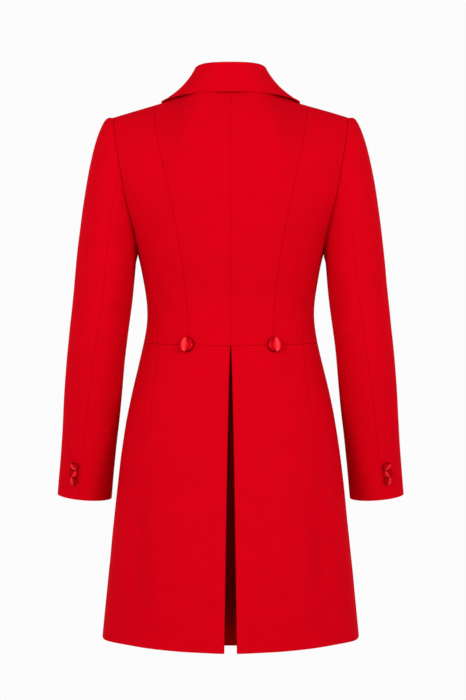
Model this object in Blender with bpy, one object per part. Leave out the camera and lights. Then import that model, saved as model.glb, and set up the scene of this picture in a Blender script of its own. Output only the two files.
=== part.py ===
"""Fitted tailcoat, filled out as worn and hollow inside: panelled bodice, cutaway tails with a centre back
pleat, two-piece sleeves, turned-down collar with lapels, and covered buttons.

Metres, +Z up. The coat faces -Y and the wearer's left is +X. The origin is the middle of the neck, at the
height where the shoulders meet it. The left half is worked out and the right half mirrors it.
"""
import math
from collections import namedtuple

import bmesh
import bpy
import numpy as np

# Cloth
CLOTH = 0.002
SEAM_GAP = 0.0003

# Body form: one level outline per row, from the neck to the hem
Section = namedtuple("Section", "height half_width back middle front")
SECTIONS = [
    Section(0.060, 0.2250, 0.040, 0.000, -0.030),
    Section(0.012, 0.2250, 0.058, 0.000, -0.042),
    Section(-0.036, 0.2220, 0.082, 0.000, -0.058),
    Section(-0.100, 0.2070, 0.104, 0.000, -0.086),
    Section(-0.160, 0.1885, 0.112, 0.000, -0.112),
    Section(-0.215, 0.1655, 0.109, -0.003, -0.130),
    Section(-0.250, 0.1540, 0.105, -0.005, -0.133),
    Section(-0.300, 0.1437, 0.094, -0.009, -0.127),
    Section(-0.3575, 0.1370, 0.084, -0.011, -0.116),
    Section(-0.404, 0.1432, 0.090, -0.011, -0.114),
    Section(-0.460, 0.1562, 0.109, -0.006, -0.119),
    Section(-0.550, 0.1742, 0.132, 0.000, -0.127),
    Section(-0.660, 0.1880, 0.148, 0.000, -0.134),
    Section(-0.888, 0.2108, 0.168, 0.000, -0.150),
]
ROUNDNESS = 2.2

# Shoulders: the ridge the back and front meet on
SHOULDER_OUT = 0.1945
SHOULDER_HEIGHT = -0.0352
SHOULDER_SLOPE = 0.296
NECK_OUT = 0.066
NECK_FLARE_OUT = 0.115
NECK_RISE = 0.018
RIDGE_ROUND_NECK = 1.6
RIDGE_ROUND_ARM = 2.3
ROOF_NEAR = 0.05
ROOF_FAR = 0.13

# Waist seam and hem
WAIST = -0.4035
WAIST_DIP = 0.0035
HEM = -0.8895
HEM_RISE = 0.0068

# Soft flutes in the skirt, deepest at the hem
Flute = namedtuple("Flute", "angle spread depth")
FLUTES = [Flute(27.0, 8.0, 0.0020), Flute(56.0, 9.0, -0.0035), Flute(73.0, 7.0, 0.0025)]
FLUTE_START = -0.50

# Seams of the bodice
Seam = namedtuple("Seam", "height out")
PRINCESS_TOP_OUT = 0.126
PRINCESS = [
    Seam(-0.0157, 0.1260), Seam(-0.043, 0.1225), Seam(-0.075, 0.1175), Seam(-0.104, 0.1110),
    Seam(-0.137, 0.1035), Seam(-0.174, 0.0955), Seam(-0.210, 0.0885), Seam(-0.261, 0.0800),
    Seam(-0.301, 0.0740), Seam(-0.345, 0.0702), Seam(-0.407, 0.0690),
]
SIDE_SEAM = [
    Seam(-0.229, 0.1510), Seam(-0.250, 0.1435), Seam(-0.273, 0.1345), Seam(-0.314, 0.1240),
    Seam(-0.346, 0.1195), Seam(-0.407, 0.1185),
]
FRONT_SEAM_WAIST_ANGLE = 134.0

# Armhole: turn 0 is the shoulder point, 90 the back, 180 the underarm, 270 the front
ARM_BOTTOM = -0.259
ARM_STEP = 10
SIDE_SEAM_TURN = 150
FRONT_SEAM_TURN = 240
Scoop = namedtuple("Scoop", "turn back front")
SCOOPS = [Scoop(45, 15.5, 18.0), Scoop(90, 17.4, 21.0), Scoop(135, 13.0, 15.5)]

# Neckline and front edge, as seen from in front
NAPE_HEIGHT = 0.012
NECKLINE = [
    Seam(0.020, 0.0660), Seam(0.010, 0.0665), Seam(-0.010, 0.0645), Seam(-0.036, 0.0580),
    Seam(-0.100, 0.0355), Seam(-0.190, 0.0042),
]
BREAK_HEIGHT = -0.190
FRONT_EDGE = [
    Seam(-0.190, 0.0042), Seam(-0.203, -0.0085), Seam(-0.222, -0.0170), Seam(-0.250, -0.0200),
    Seam(-0.320, -0.0200), Seam(-0.410, -0.0200),
]
OVERLAP_LIFT = 0.0032
GORGE_TURN = 310

# Collar, from the centre back to the gorge
Collar = namedtuple("Collar", "share stand lean belly clear")
COLLAR = [
    Collar(0.00, 0.0350, 0.0040, 0.000, 0.0045),
    Collar(0.22, 0.0320, -0.0010, -0.003, 0.0044),
    Collar(0.44, 0.0190, -0.0100, -0.006, 0.0034),
    Collar(0.72, 0.0100, -0.0040, -0.002, 0.0040),
    Collar(1.00, 0.0040, 0.0000, 0.000, 0.0040),
]
COLLAR_EDGE_OUT = 0.1125
COLLAR_EDGE_NAPE = -0.001
COLLAR_FRONT_EDGE = [Seam(-0.0122, 0.1125), Seam(-0.030, 0.1185), Seam(-0.050, 0.1185)]
COLLAR_ROLL = 0.0024
COLLAR_SEAT = 0.0008
GORGE_SHARE = 0.55
GORGE_GAP = 0.0012

# Lapel
LAPEL_POINT = Seam(-0.0860, 0.1190)
LAPEL_BOW = Seam(-0.1500, 0.0840)
LAPEL_FOOT = Seam(-0.1880, 0.0140)
LAPEL_ROLL_TOP = 0.0024
LAPEL_ROLL_FOOT = 0.0014
LAPEL_CLEAR = 0.0028

# Tails
CUTAWAY_HEM_ANGLE = 100.0
CUTAWAY_POWER = 2.2
VENT_TOP = 0.0004
VENT_HEM = 0.0098
VENT_POWER = 0.75
PLEAT_FOLD = 0.0018
PLEAT_WIDTH = 0.040
PLEAT_DEPTH_TOP = 0.0055
PLEAT_DEPTH_HEM = 0.030
UNDERLAY_HEM = -0.881
UNDERLAY_BOW = 0.003

# Sleeve rings below the cap
Ring = namedtuple("Ring", "height out fore half_width half_depth")
SLEEVE = [
    Ring(-0.275, 0.2042, 0.002, 0.0488, 0.0610),
    Ring(-0.333, 0.2096, 0.004, 0.0488, 0.0590),
    Ring(-0.398, 0.2174, 0.004, 0.0478, 0.0560),
    Ring(-0.497, 0.2268, -0.006, 0.0471, 0.0510),
    Ring(-0.5625, 0.2328, -0.018, 0.0453, 0.0470),
    Ring(-0.657, 0.2422, -0.036, 0.0448, 0.0440),
]
CUFF_RISE_OUT = 0.082
CUFF_RISE_FORE = 0.10
SLEEVE_TWIST = 14.0
SLEEVE_BACK_TURN = 90
SLEEVE_FRONT_TURN = 230
CAP_FULLNESS = 0.37
CAP_OUT = (0.58, 0.42)
CAP_TURN = 0.25
CAP_DROP = (-0.36, 0.68)

# Buttons
BIG_BUTTON = 0.0125
BIG_DOME = 0.0070
SMALL_BUTTON = 0.0075
SMALL_DOME = 0.0036
WAIST_BUTTON_OUT = 0.0705
WAIST_BUTTON_HEIGHT = -0.406
FRONT_BUTTON_HEIGHTS = [-0.232, -0.302, -0.372]
CUFF_BUTTON_TURN = 79.0
CUFF_BUTTON_HEIGHTS = [-0.6020, -0.6137, -0.6254]
CUFF_BUTTON_TILT = 16.0
BUTTON_BACK = 0.80
BUTTON_CLEAR = 0.0004
WAIST_BUTTON_CLEAR = 0.0013
FRONT_BUTTON_CLEAR = 0.0007

# Grid counts
LOWER_ROWS = 6
NECK_COLUMNS = 4
PRINCESS_COLUMNS = 3
SIDE_BACK_COLUMNS = 5
SKIRT_ROWS = 10
CAP_ROWS = 6
ARM_ROWS = 8
ROLL_STEPS = 4

# Colours and finishes
WOOL = (0.60, 0.004, 0.010, 1.0)
UNDERLAY_WOOL = (0.42, 0.003, 0.007, 1.0)
SATIN = (0.80, 0.022, 0.035, 1.0)


def column(rows, name):
    """One named column of a table as an array."""
    return np.array([getattr(row, name) for row in rows], float)


def spline(xs, ys):
    """Smooth curve through the points of a table, level in curvature at both ends."""
    order = np.argsort(xs)
    xs = np.asarray(xs, float)[order]
    ys = np.asarray(ys, float)[order]
    count = len(xs)
    step = np.diff(xs)
    system = np.eye(count)
    target = np.zeros(count)
    for i in range(1, count - 1):
        system[i, i - 1:i + 2] = step[i - 1], 2.0 * (step[i - 1] + step[i]), step[i]
        target[i] = 6.0 * ((ys[i + 1] - ys[i]) / step[i] - (ys[i] - ys[i - 1]) / step[i - 1])
    bend = np.linalg.solve(system, target)

    def value(x):
        x = np.clip(np.asarray(x, float), xs[0], xs[-1])
        i = np.clip(np.searchsorted(xs, x) - 1, 0, count - 2)
        after = x - xs[i]
        before = xs[i + 1] - x
        cubic = (bend[i] * before ** 3 + bend[i + 1] * after ** 3) / (6.0 * step[i])
        low = (ys[i] / step[i] - bend[i] * step[i] / 6.0) * before
        high = (ys[i + 1] / step[i] - bend[i + 1] * step[i] / 6.0) * after
        return cubic + low + high
    return value


def through(rows, along, name):
    return spline(column(rows, along), column(rows, name))


HALF_WIDTH = through(SECTIONS, "height", "half_width")
BACK = through(SECTIONS, "height", "back")
MIDDLE = through(SECTIONS, "height", "middle")
FRONT = through(SECTIONS, "height", "front")
PRINCESS_OUT = through(PRINCESS, "height", "out")
SIDE_SEAM_OUT = through(SIDE_SEAM, "height", "out")
NECKLINE_OUT = through(NECKLINE, "height", "out")
FRONT_EDGE_OUT = through(FRONT_EDGE, "height", "out")


def ease(x):
    """Smooth step from 0 to 1."""
    x = np.clip(x, 0.0, 1.0)
    return x * x * (3.0 - 2.0 * x)


def unit(vectors):
    return vectors / np.maximum(np.linalg.norm(vectors, axis=-1, keepdims=True), 1e-12)


def mix(a, b, share):
    return a + (b - a) * share


def ridge_height(out):
    out = np.abs(out)
    flare = np.clip((NECK_FLARE_OUT - out) / (NECK_FLARE_OUT - NECK_OUT), 0.0, None)
    return SHOULDER_HEIGHT + SHOULDER_SLOPE * (SHOULDER_OUT - out) + NECK_RISE * flare ** 2


def ridge_share(out, height):
    """0 on the shoulder ridge, 1 where its rounding has run out."""
    roof = mix(ROOF_NEAR, ROOF_FAR, ease((np.abs(out) - 0.05) / 0.08))
    return np.clip((ridge_height(out) - height) / roof, 0.0, 1.0)


def half_depth(height, front):
    middle = MIDDLE(height)
    return np.where(front, middle - FRONT(height), BACK(height) - middle)


def flutes(angle, height):
    drop = ease((FLUTE_START - height) / (FLUTE_START - HEM))
    degrees = np.degrees(np.abs(angle))
    waves = sum(f.depth * np.exp(-((degrees - f.angle) / f.spread) ** 2) for f in FLUTES)
    return drop * waves


def form(angle, height):
    """Outer face of the coat. Angle 0 is the centre back, 90 degrees the left side, 180 the front."""
    angle = np.asarray(angle, float)
    height = np.asarray(height, float)
    sine, cosine = np.sin(angle), np.cos(angle)
    depth = half_depth(height, cosine < 0.0)
    spread = np.abs(sine / HALF_WIDTH(height)) ** ROUNDNESS + np.abs(cosine / depth) ** ROUNDNESS
    radius = spread ** (-1.0 / ROUNDNESS) + flutes(angle, height)
    x = radius * sine
    y = MIDDLE(height) + radius * cosine
    share = ridge_share(x, height)
    bend = mix(RIDGE_ROUND_NECK, RIDGE_ROUND_ARM, ease((np.abs(x) - NECK_OUT) / (SHOULDER_OUT - NECK_OUT)))
    roof = (1.0 - (1.0 - share) ** bend) ** (1.0 / bend)
    return np.stack([x, y * roof, height + 0.0 * x], axis=-1)


def outward(angle, height):
    """Unit normal of the outer face, upright along the shoulder ridge so that the two sides agree."""
    turn, rise = 1e-3, 2e-4
    across = form(angle + turn, height) - form(angle - turn, height)
    up = form(angle, height + rise) - form(angle, height - rise)
    normal = unit(np.cross(up, across))
    point = form(angle, height)
    normal[..., 1] *= ease(ridge_share(point[..., 0], height) / 0.06)
    return unit(normal)


def angle_at(out, height, front=False):
    """Angle of the point of the form that lies this far out from the centre."""
    out = np.asarray(out, float)
    rest = 1.0 - np.abs(out / HALF_WIDTH(height)) ** ROUNDNESS
    reach = half_depth(height, front) * np.clip(rest, 0.0, None) ** (1.0 / ROUNDNESS)
    angle = np.arctan2(out, reach)
    return np.pi - angle if front else angle


def waist_height(angle):
    return WAIST - WAIST_DIP * np.cos(angle) ** 2


def chart(angle, height):
    return np.stack(np.broadcast_arrays(np.asarray(angle, float), np.asarray(height, float)), axis=-1)


def armhole(turn):
    """Chart points of the armhole edge for turns in degrees."""
    turn = np.asarray(turn, float)
    front = turn > 180.0
    half = np.where(front, 360.0 - turn, turn)
    middle = 0.5 * (SHOULDER_HEIGHT + ARM_BOTTOM)
    height = middle + (SHOULDER_HEIGHT - middle) * np.cos(np.radians(half))
    top_back = 90.0 - np.degrees(angle_at(SHOULDER_OUT, SHOULDER_HEIGHT))
    top_front = np.degrees(angle_at(SHOULDER_OUT, SHOULDER_HEIGHT, True)) - 90.0
    turns = [0.0, *column(SCOOPS, "turn"), 180.0]
    back = spline(turns, [top_back, *column(SCOOPS, "back"), 0.0])(half)
    fore = spline(turns, [top_front, *column(SCOOPS, "front"), 0.0])(half)
    angle = np.radians(np.where(front, 90.0 + fore, 90.0 - back))
    return chart(angle, height)


def turns(first, last):
    return np.arange(first, last + (1 if last > first else -1), ARM_STEP if last > first else -ARM_STEP)


def climb(first_turn, last_turn):
    """Shares of the way up an edge: even rows below the armhole, then the armhole's own steps."""
    heights = armhole(turns(first_turn, last_turn))[:, 1]
    corner = (heights[0] - WAIST) / (SHOULDER_HEIGHT - WAIST)
    lower = np.linspace(0.0, corner, LOWER_ROWS + 1)
    upper = (heights[1:] - WAIST) / (SHOULDER_HEIGHT - WAIST)
    return np.concatenate([lower, upper])


def rise_to(top, shares, seam_out, front=False):
    """A seam's chart points from the waist up to a height, at the given shares of the way."""
    foot = waist_height(angle_at(seam_out(WAIST), WAIST, front))
    height = foot + (top - foot) * shares
    return chart(angle_at(seam_out(height), height, front), height)


def ridge_points(first_out, last_out, count, front=False):
    out = np.linspace(first_out, last_out, count + 1)
    height = ridge_height(out)
    return chart(angle_at(out, height, front), height)


def waist_points(first_angle, last_angle, count):
    angle = np.linspace(first_angle, last_angle, count + 1)
    return chart(angle, waist_height(angle))


def patch(left, right, bottom, top, rise=None):
    """Chart grid that fills four edges; rows go up, columns go from left to right."""
    run = np.linspace(0.0, 1.0, len(bottom))[None, :, None]
    rise = np.linspace(0.0, 1.0, len(left)) if rise is None else np.asarray(rise)
    rise = rise[:, None, None]
    sides = mix(left[:, None], right[:, None], run)
    ends = mix(bottom[None], top[None], rise)
    corners = mix(mix(left[0], right[0], run), mix(left[-1], right[-1], run), rise)
    return sides + ends - corners


def joined(first, second):
    return np.concatenate([first, second[1:]])


def back_neck(count):
    out = NECK_OUT * np.sin(np.linspace(0.0, np.pi / 2, count + 1))
    height = mix(NAPE_HEIGHT, ridge_height(NECK_OUT), (out / NECK_OUT) ** 2)
    return chart(angle_at(out, height), height)


def front_neck():
    """Neckline of the front from the break up to the neck point, on the armhole's steps."""
    heights = armhole(turns(FRONT_SEAM_TURN, 360))[:, 1]
    share = (heights - heights[0]) / (heights[-1] - heights[0])
    height = mix(BREAK_HEIGHT, ridge_height(NECK_OUT), share)
    out = NECKLINE_OUT(height)
    out[-1] = NECK_OUT
    return chart(angle_at(out, height, True), height)


def front_seam():
    """Seam from the waist up to the front of the armhole."""
    top = armhole(FRONT_SEAM_TURN)
    share = np.linspace(0.0, 1.0, LOWER_ROWS + 1)
    angle = mix(math.radians(FRONT_SEAM_WAIST_ANGLE), top[0], share ** 1.6)
    foot = waist_height(angle[0])
    return chart(angle, mix(foot, top[1], share))


def back_chart():
    rise = climb(SIDE_SEAM_TURN, 0)
    foot = waist_height(0.0)
    left = chart(0.0, foot + (NAPE_HEIGHT - foot) * rise)
    right = rise_to(ridge_height(PRINCESS_TOP_OUT), rise, PRINCESS_OUT)
    shoulder = ridge_points(NECK_OUT, PRINCESS_TOP_OUT, PRINCESS_COLUMNS)
    right[-1] = shoulder[-1]
    top = joined(back_neck(NECK_COLUMNS), shoulder)
    bottom = waist_points(0.0, right[0, 0], len(top) - 1)
    return patch(left, right, bottom, top, rise)


def side_seam():
    corner = armhole(SIDE_SEAM_TURN)
    seam = rise_to(corner[1], np.linspace(0.0, 1.0, LOWER_ROWS + 1), SIDE_SEAM_OUT)
    seam[:, 0] += (corner[0] - seam[-1, 0]) * np.linspace(0.0, 1.0, LOWER_ROWS + 1) ** 2
    return seam


def side_back_chart():
    rise = climb(SIDE_SEAM_TURN, 0)
    left = back_chart()[:, -1]
    right = joined(side_seam(), armhole(turns(SIDE_SEAM_TURN, 0)))
    top = ridge_points(PRINCESS_TOP_OUT, SHOULDER_OUT, SIDE_BACK_COLUMNS)
    bottom = waist_points(left[0, 0], right[0, 0], SIDE_BACK_COLUMNS)
    return patch(left, right, bottom, top, rise)


def side_front_chart():
    top = armhole(turns(SIDE_SEAM_TURN, FRONT_SEAM_TURN))
    left = side_seam()
    right = front_seam()
    bottom = waist_points(left[0, 0], right[0, 0], len(top) - 1)
    return patch(left, right, bottom, top)


def front_chart():
    rise = climb(FRONT_SEAM_TURN, 360)
    left = joined(front_seam(), armhole(turns(FRONT_SEAM_TURN, 360)))
    edge = rise_to(BREAK_HEIGHT, np.linspace(0.0, 1.0, LOWER_ROWS + 1), FRONT_EDGE_OUT, True)
    neck = front_neck()
    edge[-1] = neck[0]
    right = joined(edge, neck)
    shoulder = joined(ridge_points(SHOULDER_OUT, PRINCESS_TOP_OUT, SIDE_BACK_COLUMNS, True),
                      ridge_points(PRINCESS_TOP_OUT, NECK_OUT, PRINCESS_COLUMNS, True))
    left[-1] = shoulder[0]
    right[-1] = shoulder[-1]
    bottom = waist_points(left[0, 0], right[0, 0], len(shoulder) - 1)
    return patch(left, right, bottom, shoulder, rise)


def overlap_lift(points):
    """How far the right front is raised to lie over the left one."""
    near = ease((0.09 - points[..., 0]) / 0.06)
    low = ease((-0.165 - points[..., 2]) / 0.035)
    return (OVERLAP_LIFT * near * low * (points[..., 1] < 0.0))[..., None]


def place(cells, depth, lifted):
    """Points of a chart grid at a depth below the outer face."""
    angle, height = cells[..., 0], cells[..., 1]
    points = form(angle, height)
    normal = outward(angle, height)
    lift = overlap_lift(points) if lifted else 0.0
    return points + normal * (lift - depth)


def drawn_in(points, amount, edges):
    """Pull the named edges of a grid in, to leave the seam gap."""
    points = points.copy()
    if "left" in edges:
        points[:, 0] += amount * unit(points[:, 1] - points[:, 0])
    if "right" in edges:
        points[:, -1] += amount * unit(points[:, -2] - points[:, -1])
    if "bottom" in edges:
        points[0] += amount * unit(points[1] - points[0])
    if "top" in edges:
        points[-1] += amount * unit(points[-2] - points[-1])
    return points


def mirrored(points):
    return points * np.array([-1.0, 1.0, 1.0])


def material(name, colour, roughness):
    shader = bpy.data.materials.new(name)
    shader.use_nodes = True
    principled = shader.node_tree.nodes["Principled BSDF"]
    principled.inputs["Base Color"].default_value = colour
    principled.inputs["Roughness"].default_value = roughness
    principled.inputs["Metallic"].default_value = 0.0
    shader.diffuse_color = colour
    return shader


def add_object(name, mesh, colour, roughness):
    mesh.materials.append(material(name, colour, roughness))
    thing = bpy.data.objects.new(name, mesh)
    COAT.objects.link(thing)
    return thing


def cloth(name, outer, inner, colour=WOOL):
    """A closed cloth wall between two like grids of points."""
    rows, columns = outer.shape[0] - 1, outer.shape[1] - 1
    mesh = bpy.data.meshes.new(name)
    bm = bmesh.new()
    bmesh.ops.create_grid(bm, x_segments=columns, y_segments=rows, size=1.0)
    made = bmesh.ops.extrude_face_region(bm, geom=bm.faces[:], use_keep_orig=True)
    within = {item for item in made["geom"] if isinstance(item, bmesh.types.BMVert)}
    for vert in bm.verts:
        i = round((vert.co.x + 1.0) * 0.5 * columns)
        j = round((vert.co.y + 1.0) * 0.5 * rows)
        vert.co = inner[j, i] if vert in within else outer[j, i]
    bmesh.ops.recalc_face_normals(bm, faces=bm.faces[:])
    bm.to_mesh(mesh)
    bm.free()
    return add_object(name, mesh, colour, 0.85)


def both_sides(stem, outer, inner, colour=WOOL):
    cloth(stem + "_left", outer, inner, colour)
    cloth(stem + "_right", mirrored(outer), mirrored(inner), colour)


def panel(stem, cells, edges):
    """A bodice or skirt panel on both sides; the right front pieces are raised over the left ones."""
    for side, lifted in (("left", False), ("right", True)):
        outer = drawn_in(place(cells, 0.0, lifted), SEAM_GAP / 2, edges)
        inner = drawn_in(place(cells, CLOTH, lifted), SEAM_GAP / 2, edges)
        if side == "right":
            outer, inner = mirrored(outer), mirrored(inner)
        cloth(stem + "_" + side, outer, inner)


def bodice():
    panel("back", back_chart(), "left right bottom top")
    panel("side_back", side_back_chart(), "left right bottom top")
    panel("side_front", side_front_chart(), "left right bottom top")
    panel("front", front_chart(), "left bottom top")


def hem_height(angle):
    return HEM + HEM_RISE * np.abs(np.sin(angle)) ** 1.2


def vent_out(share):
    return VENT_TOP + (VENT_HEM - VENT_TOP) * share ** VENT_POWER


def skirt_chart():
    """Tail from the vent fold round to the cutaway front edge, on the bodice's own columns at the waist."""
    charts = [back_chart(), side_back_chart(), side_front_chart(), front_chart()]
    top = charts[0][0]
    for grid in charts[1:]:
        top = joined(top, grid[0])
    first, last = top[0, 0], top[-1, 0]
    run = (top[:, 0] - first) / (last - first)
    share = np.linspace(0.0, 1.0, SKIRT_ROWS + 1)[::-1]
    rows = []
    for drop in share:
        front = mix(math.radians(CUTAWAY_HEM_ANGLE), last, (1.0 - drop) ** CUTAWAY_POWER)
        back = angle_at(vent_out(drop) + PLEAT_FOLD + CLOTH / 2, mix(top[0, 1], HEM, drop))
        angle = mix(back, front, run)
        rows.append(chart(angle, mix(top[:, 1], hem_height(angle), drop)))
    return np.stack(rows)


def pleat_return(fold, cell, drop):
    """One section of the pleat return, from its sewn end to the vent fold: its two faces as rows of points."""
    angle, height = cell
    tangent = unit(form(angle + 1e-3, height) - form(angle, height))
    normal = outward(angle, height)
    bend = np.linspace(math.pi, 0.0, ROLL_STEPS + 1)
    bend_along = -PLEAT_FOLD * np.sin(bend)
    bend_depth = CLOTH / 2 + PLEAT_FOLD * (1.0 - np.cos(bend))
    steps = np.linspace(1.0, 0.0, 4)[:-1]
    far_along = steps * PLEAT_WIDTH
    far_depth = bend_depth[0] + steps * mix(PLEAT_DEPTH_TOP, PLEAT_DEPTH_HEM, drop)
    along = np.concatenate([far_along, bend_along])
    depth = np.concatenate([far_depth, bend_depth])
    middle = fold + along[:, None] * tangent - depth[:, None] * normal
    facing = unit(np.cross(np.array([0.0, 0.0, 1.0]), np.gradient(middle, axis=0)))[:-1]
    return middle[:-1] + facing * CLOTH / 2, middle[:-1] - facing * CLOTH / 2


def tail(lifted):
    """Outer and inner grids of the left tail; the first columns are the pleat return."""
    cells = skirt_chart()
    outer = drawn_in(place(cells, 0.0, lifted), SEAM_GAP / 2, "top")
    inner = drawn_in(place(cells, CLOTH, lifted), SEAM_GAP / 2, "top")
    drops = np.linspace(1.0, 0.0, SKIRT_ROWS + 1)
    returns = [pleat_return(outer[row, 0], cells[row, 0], drop) for row, drop in enumerate(drops)]
    outer = np.concatenate([np.stack([faces for faces, _ in returns]), outer], axis=1)
    inner = np.concatenate([np.stack([backs for _, backs in returns]), inner], axis=1)
    return outer, inner


def tails():
    outer, inner = tail(False)
    cloth("skirt_left", outer, inner)
    outer, inner = tail(True)
    cloth("skirt_right", mirrored(outer), mirrored(inner))


def underlay():
    """Strip across the back of the pleat, seated on the sewn ends of the two returns."""
    edge = tail(False)[0][:, 0]
    short = (UNDERLAY_HEM - edge[0, 2]) / (edge[1, 2] - edge[0, 2])
    edge[0] = mix(edge[0], edge[1], short)
    across = np.linspace(-1.0, 1.0, 7)
    bow = UNDERLAY_BOW * (1.0 - across ** 2)
    outer = np.stack([across * edge[:, :1], edge[:, 1:2] + bow - SEAM_GAP, edge[:, 2:] + 0.0 * across], axis=-1)
    inner = outer - np.array([0.0, CLOTH, 0.0])
    cloth("pleat_underlay", outer, inner, UNDERLAY_WOOL)


def ring(turn, share):
    """Sleeve below the cap: share 0 is the upper arm, 1 the cuff edge; turn in degrees."""
    level = mix(SLEEVE[0].height, SLEEVE[-1].height, share)
    turn = np.radians(turn - SLEEVE_TWIST * ease(share))
    sideways = through(SLEEVE, "height", "half_width")(level) * np.cos(turn)
    backward = through(SLEEVE, "height", "half_depth")(level) * np.sin(turn)
    x = through(SLEEVE, "height", "out")(level) + sideways
    y = through(SLEEVE, "height", "fore")(level) + backward
    z = level + share * (CUFF_RISE_OUT * sideways - CUFF_RISE_FORE * backward)
    return np.stack([x, y, z], axis=-1)


def sleeve(turn, along):
    """Outer face of the sleeve: along 0 is the armhole, 1 the upper arm, 2 the cuff edge."""
    turn, along = np.broadcast_arrays(np.asarray(turn, float), np.asarray(along, float))
    edge = armhole(np.mod(turn, 360.0))
    start = form(edge[..., 0], edge[..., 1]) + np.array([SEAM_GAP, 0.0, 0.0])
    stop = ring(turn, 0.0 * turn)
    reach = np.linalg.norm(stop - start, axis=-1, keepdims=True)
    cosine, sine = np.cos(np.radians(turn)), np.sin(np.radians(turn))
    away = np.stack([CAP_OUT[0] + CAP_OUT[1] * cosine, CAP_TURN * sine, CAP_DROP[0] + CAP_DROP[1] * cosine], -1)
    down = unit(ring(turn, 0.02 + 0.0 * turn) - stop)
    t = np.clip(along, 0.0, 1.0)[..., None]
    cap = ((1.0 + 2.0 * t) * (1.0 - t) ** 2 * start + t * (1.0 - t) ** 2 * unit(away) * reach * CAP_FULLNESS
           + t * t * (3.0 - 2.0 * t) * stop + t * t * (t - 1.0) * down * reach)
    lower = ring(turn, np.clip(along - 1.0, 0.0, 1.0))
    return np.where((along < 1.0)[..., None], cap, lower)


def sleeve_outward(turn, along):
    turn, along = np.broadcast_arrays(np.asarray(turn, float), np.asarray(along, float))
    round_way = sleeve(turn + 0.5, along) - sleeve(turn - 0.5, along)
    first = np.clip(along - 0.01, 0.0, 2.0)
    last = np.clip(along + 0.01, 0.0, 2.0)
    return unit(np.cross(sleeve(turn, first) - sleeve(turn, last), round_way)) * -1.0


def sleeves():
    along = np.concatenate([np.linspace(0.0, 1.0, CAP_ROWS + 1), np.linspace(1.0, 2.0, ARM_ROWS + 1)[1:]])
    spans = {"sleeve_top": (SLEEVE_FRONT_TURN - 360, SLEEVE_BACK_TURN),
             "sleeve_under": (SLEEVE_BACK_TURN, SLEEVE_FRONT_TURN)}
    for stem, (first, last) in spans.items():
        turn = turns(first, last).astype(float)
        cells = np.meshgrid(turn, along)
        points = sleeve(*cells)
        normal = sleeve_outward(*cells)
        outer = drawn_in(points, SEAM_GAP / 2, "left right")
        inner = drawn_in(points - normal * CLOTH, SEAM_GAP / 2, "left right")
        both_sides(stem, outer, inner)


def grid_normals(middle):
    """Unit normals of a grid of middle points."""
    return unit(np.cross(np.gradient(middle, axis=1), np.gradient(middle, axis=0)))


def front_points(out, height, lift, lifted):
    """Points over the front, given as seen from in front."""
    angle = angle_at(out, height, True)
    points = form(angle, height)
    raised = overlap_lift(points)[..., 0] if lifted else 0.0
    return points + outward(angle, height) * (np.asarray(lift) + raised)[..., None]


def collar_neck():
    """Neck seam from the centre back to the gorge, with its level outward way."""
    front = front_neck()[::-1]
    count = (360 - GORGE_TURN) // ARM_STEP
    cells = joined(back_neck(NECK_COLUMNS), front[:count + 1])
    points = form(cells[:, 0], cells[:, 1])
    level = outward(cells[:, 0], cells[:, 1]) * np.array([1.0, 1.0, 0.0])
    return points, level


def collar_edge(share, clear):
    """Edge of the fall over the back, then over the front, at the collar's stations."""
    count = len(share)
    points = np.zeros((count, 3))
    back = NECK_COLUMNS + 1
    out = COLLAR_EDGE_OUT * np.sin(np.linspace(0.0, np.pi / 2, back))
    height = mix(COLLAR_EDGE_NAPE, ridge_height(COLLAR_EDGE_OUT), (out / COLLAR_EDGE_OUT) ** 2)
    angle = angle_at(out, height)
    points[:back] = form(angle, height) + outward(angle, height) * clear[:back, None]
    way = np.linspace(0.0, 1.0, count - NECK_COLUMNS)[1:]
    stations = np.linspace(0.0, 1.0, len(COLLAR_FRONT_EDGE))
    out = spline(stations, column(COLLAR_FRONT_EDGE, "out"))(way)
    height = spline(stations, column(COLLAR_FRONT_EDGE, "height"))(way)
    points[back:] = front_points(out, height, clear[back:], False)
    return points


def gorge_line(steps, start, foot):
    """Front view of the collar end: along the gorge to the notch, then out to the collar's corner."""
    corner = COLLAR_FRONT_EDGE[-1]
    notch_out = mix(foot[0], LAPEL_POINT.out, GORGE_SHARE)
    notch_height = mix(foot[2], LAPEL_POINT.height, GORGE_SHARE) + GORGE_GAP
    out = np.interp(steps, [0.0, 0.6, 1.0], [start[0], notch_out, corner.out])
    height = np.interp(steps, [0.0, 0.6, 1.0], [start[2], notch_height, corner.height])
    return out, height


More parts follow.
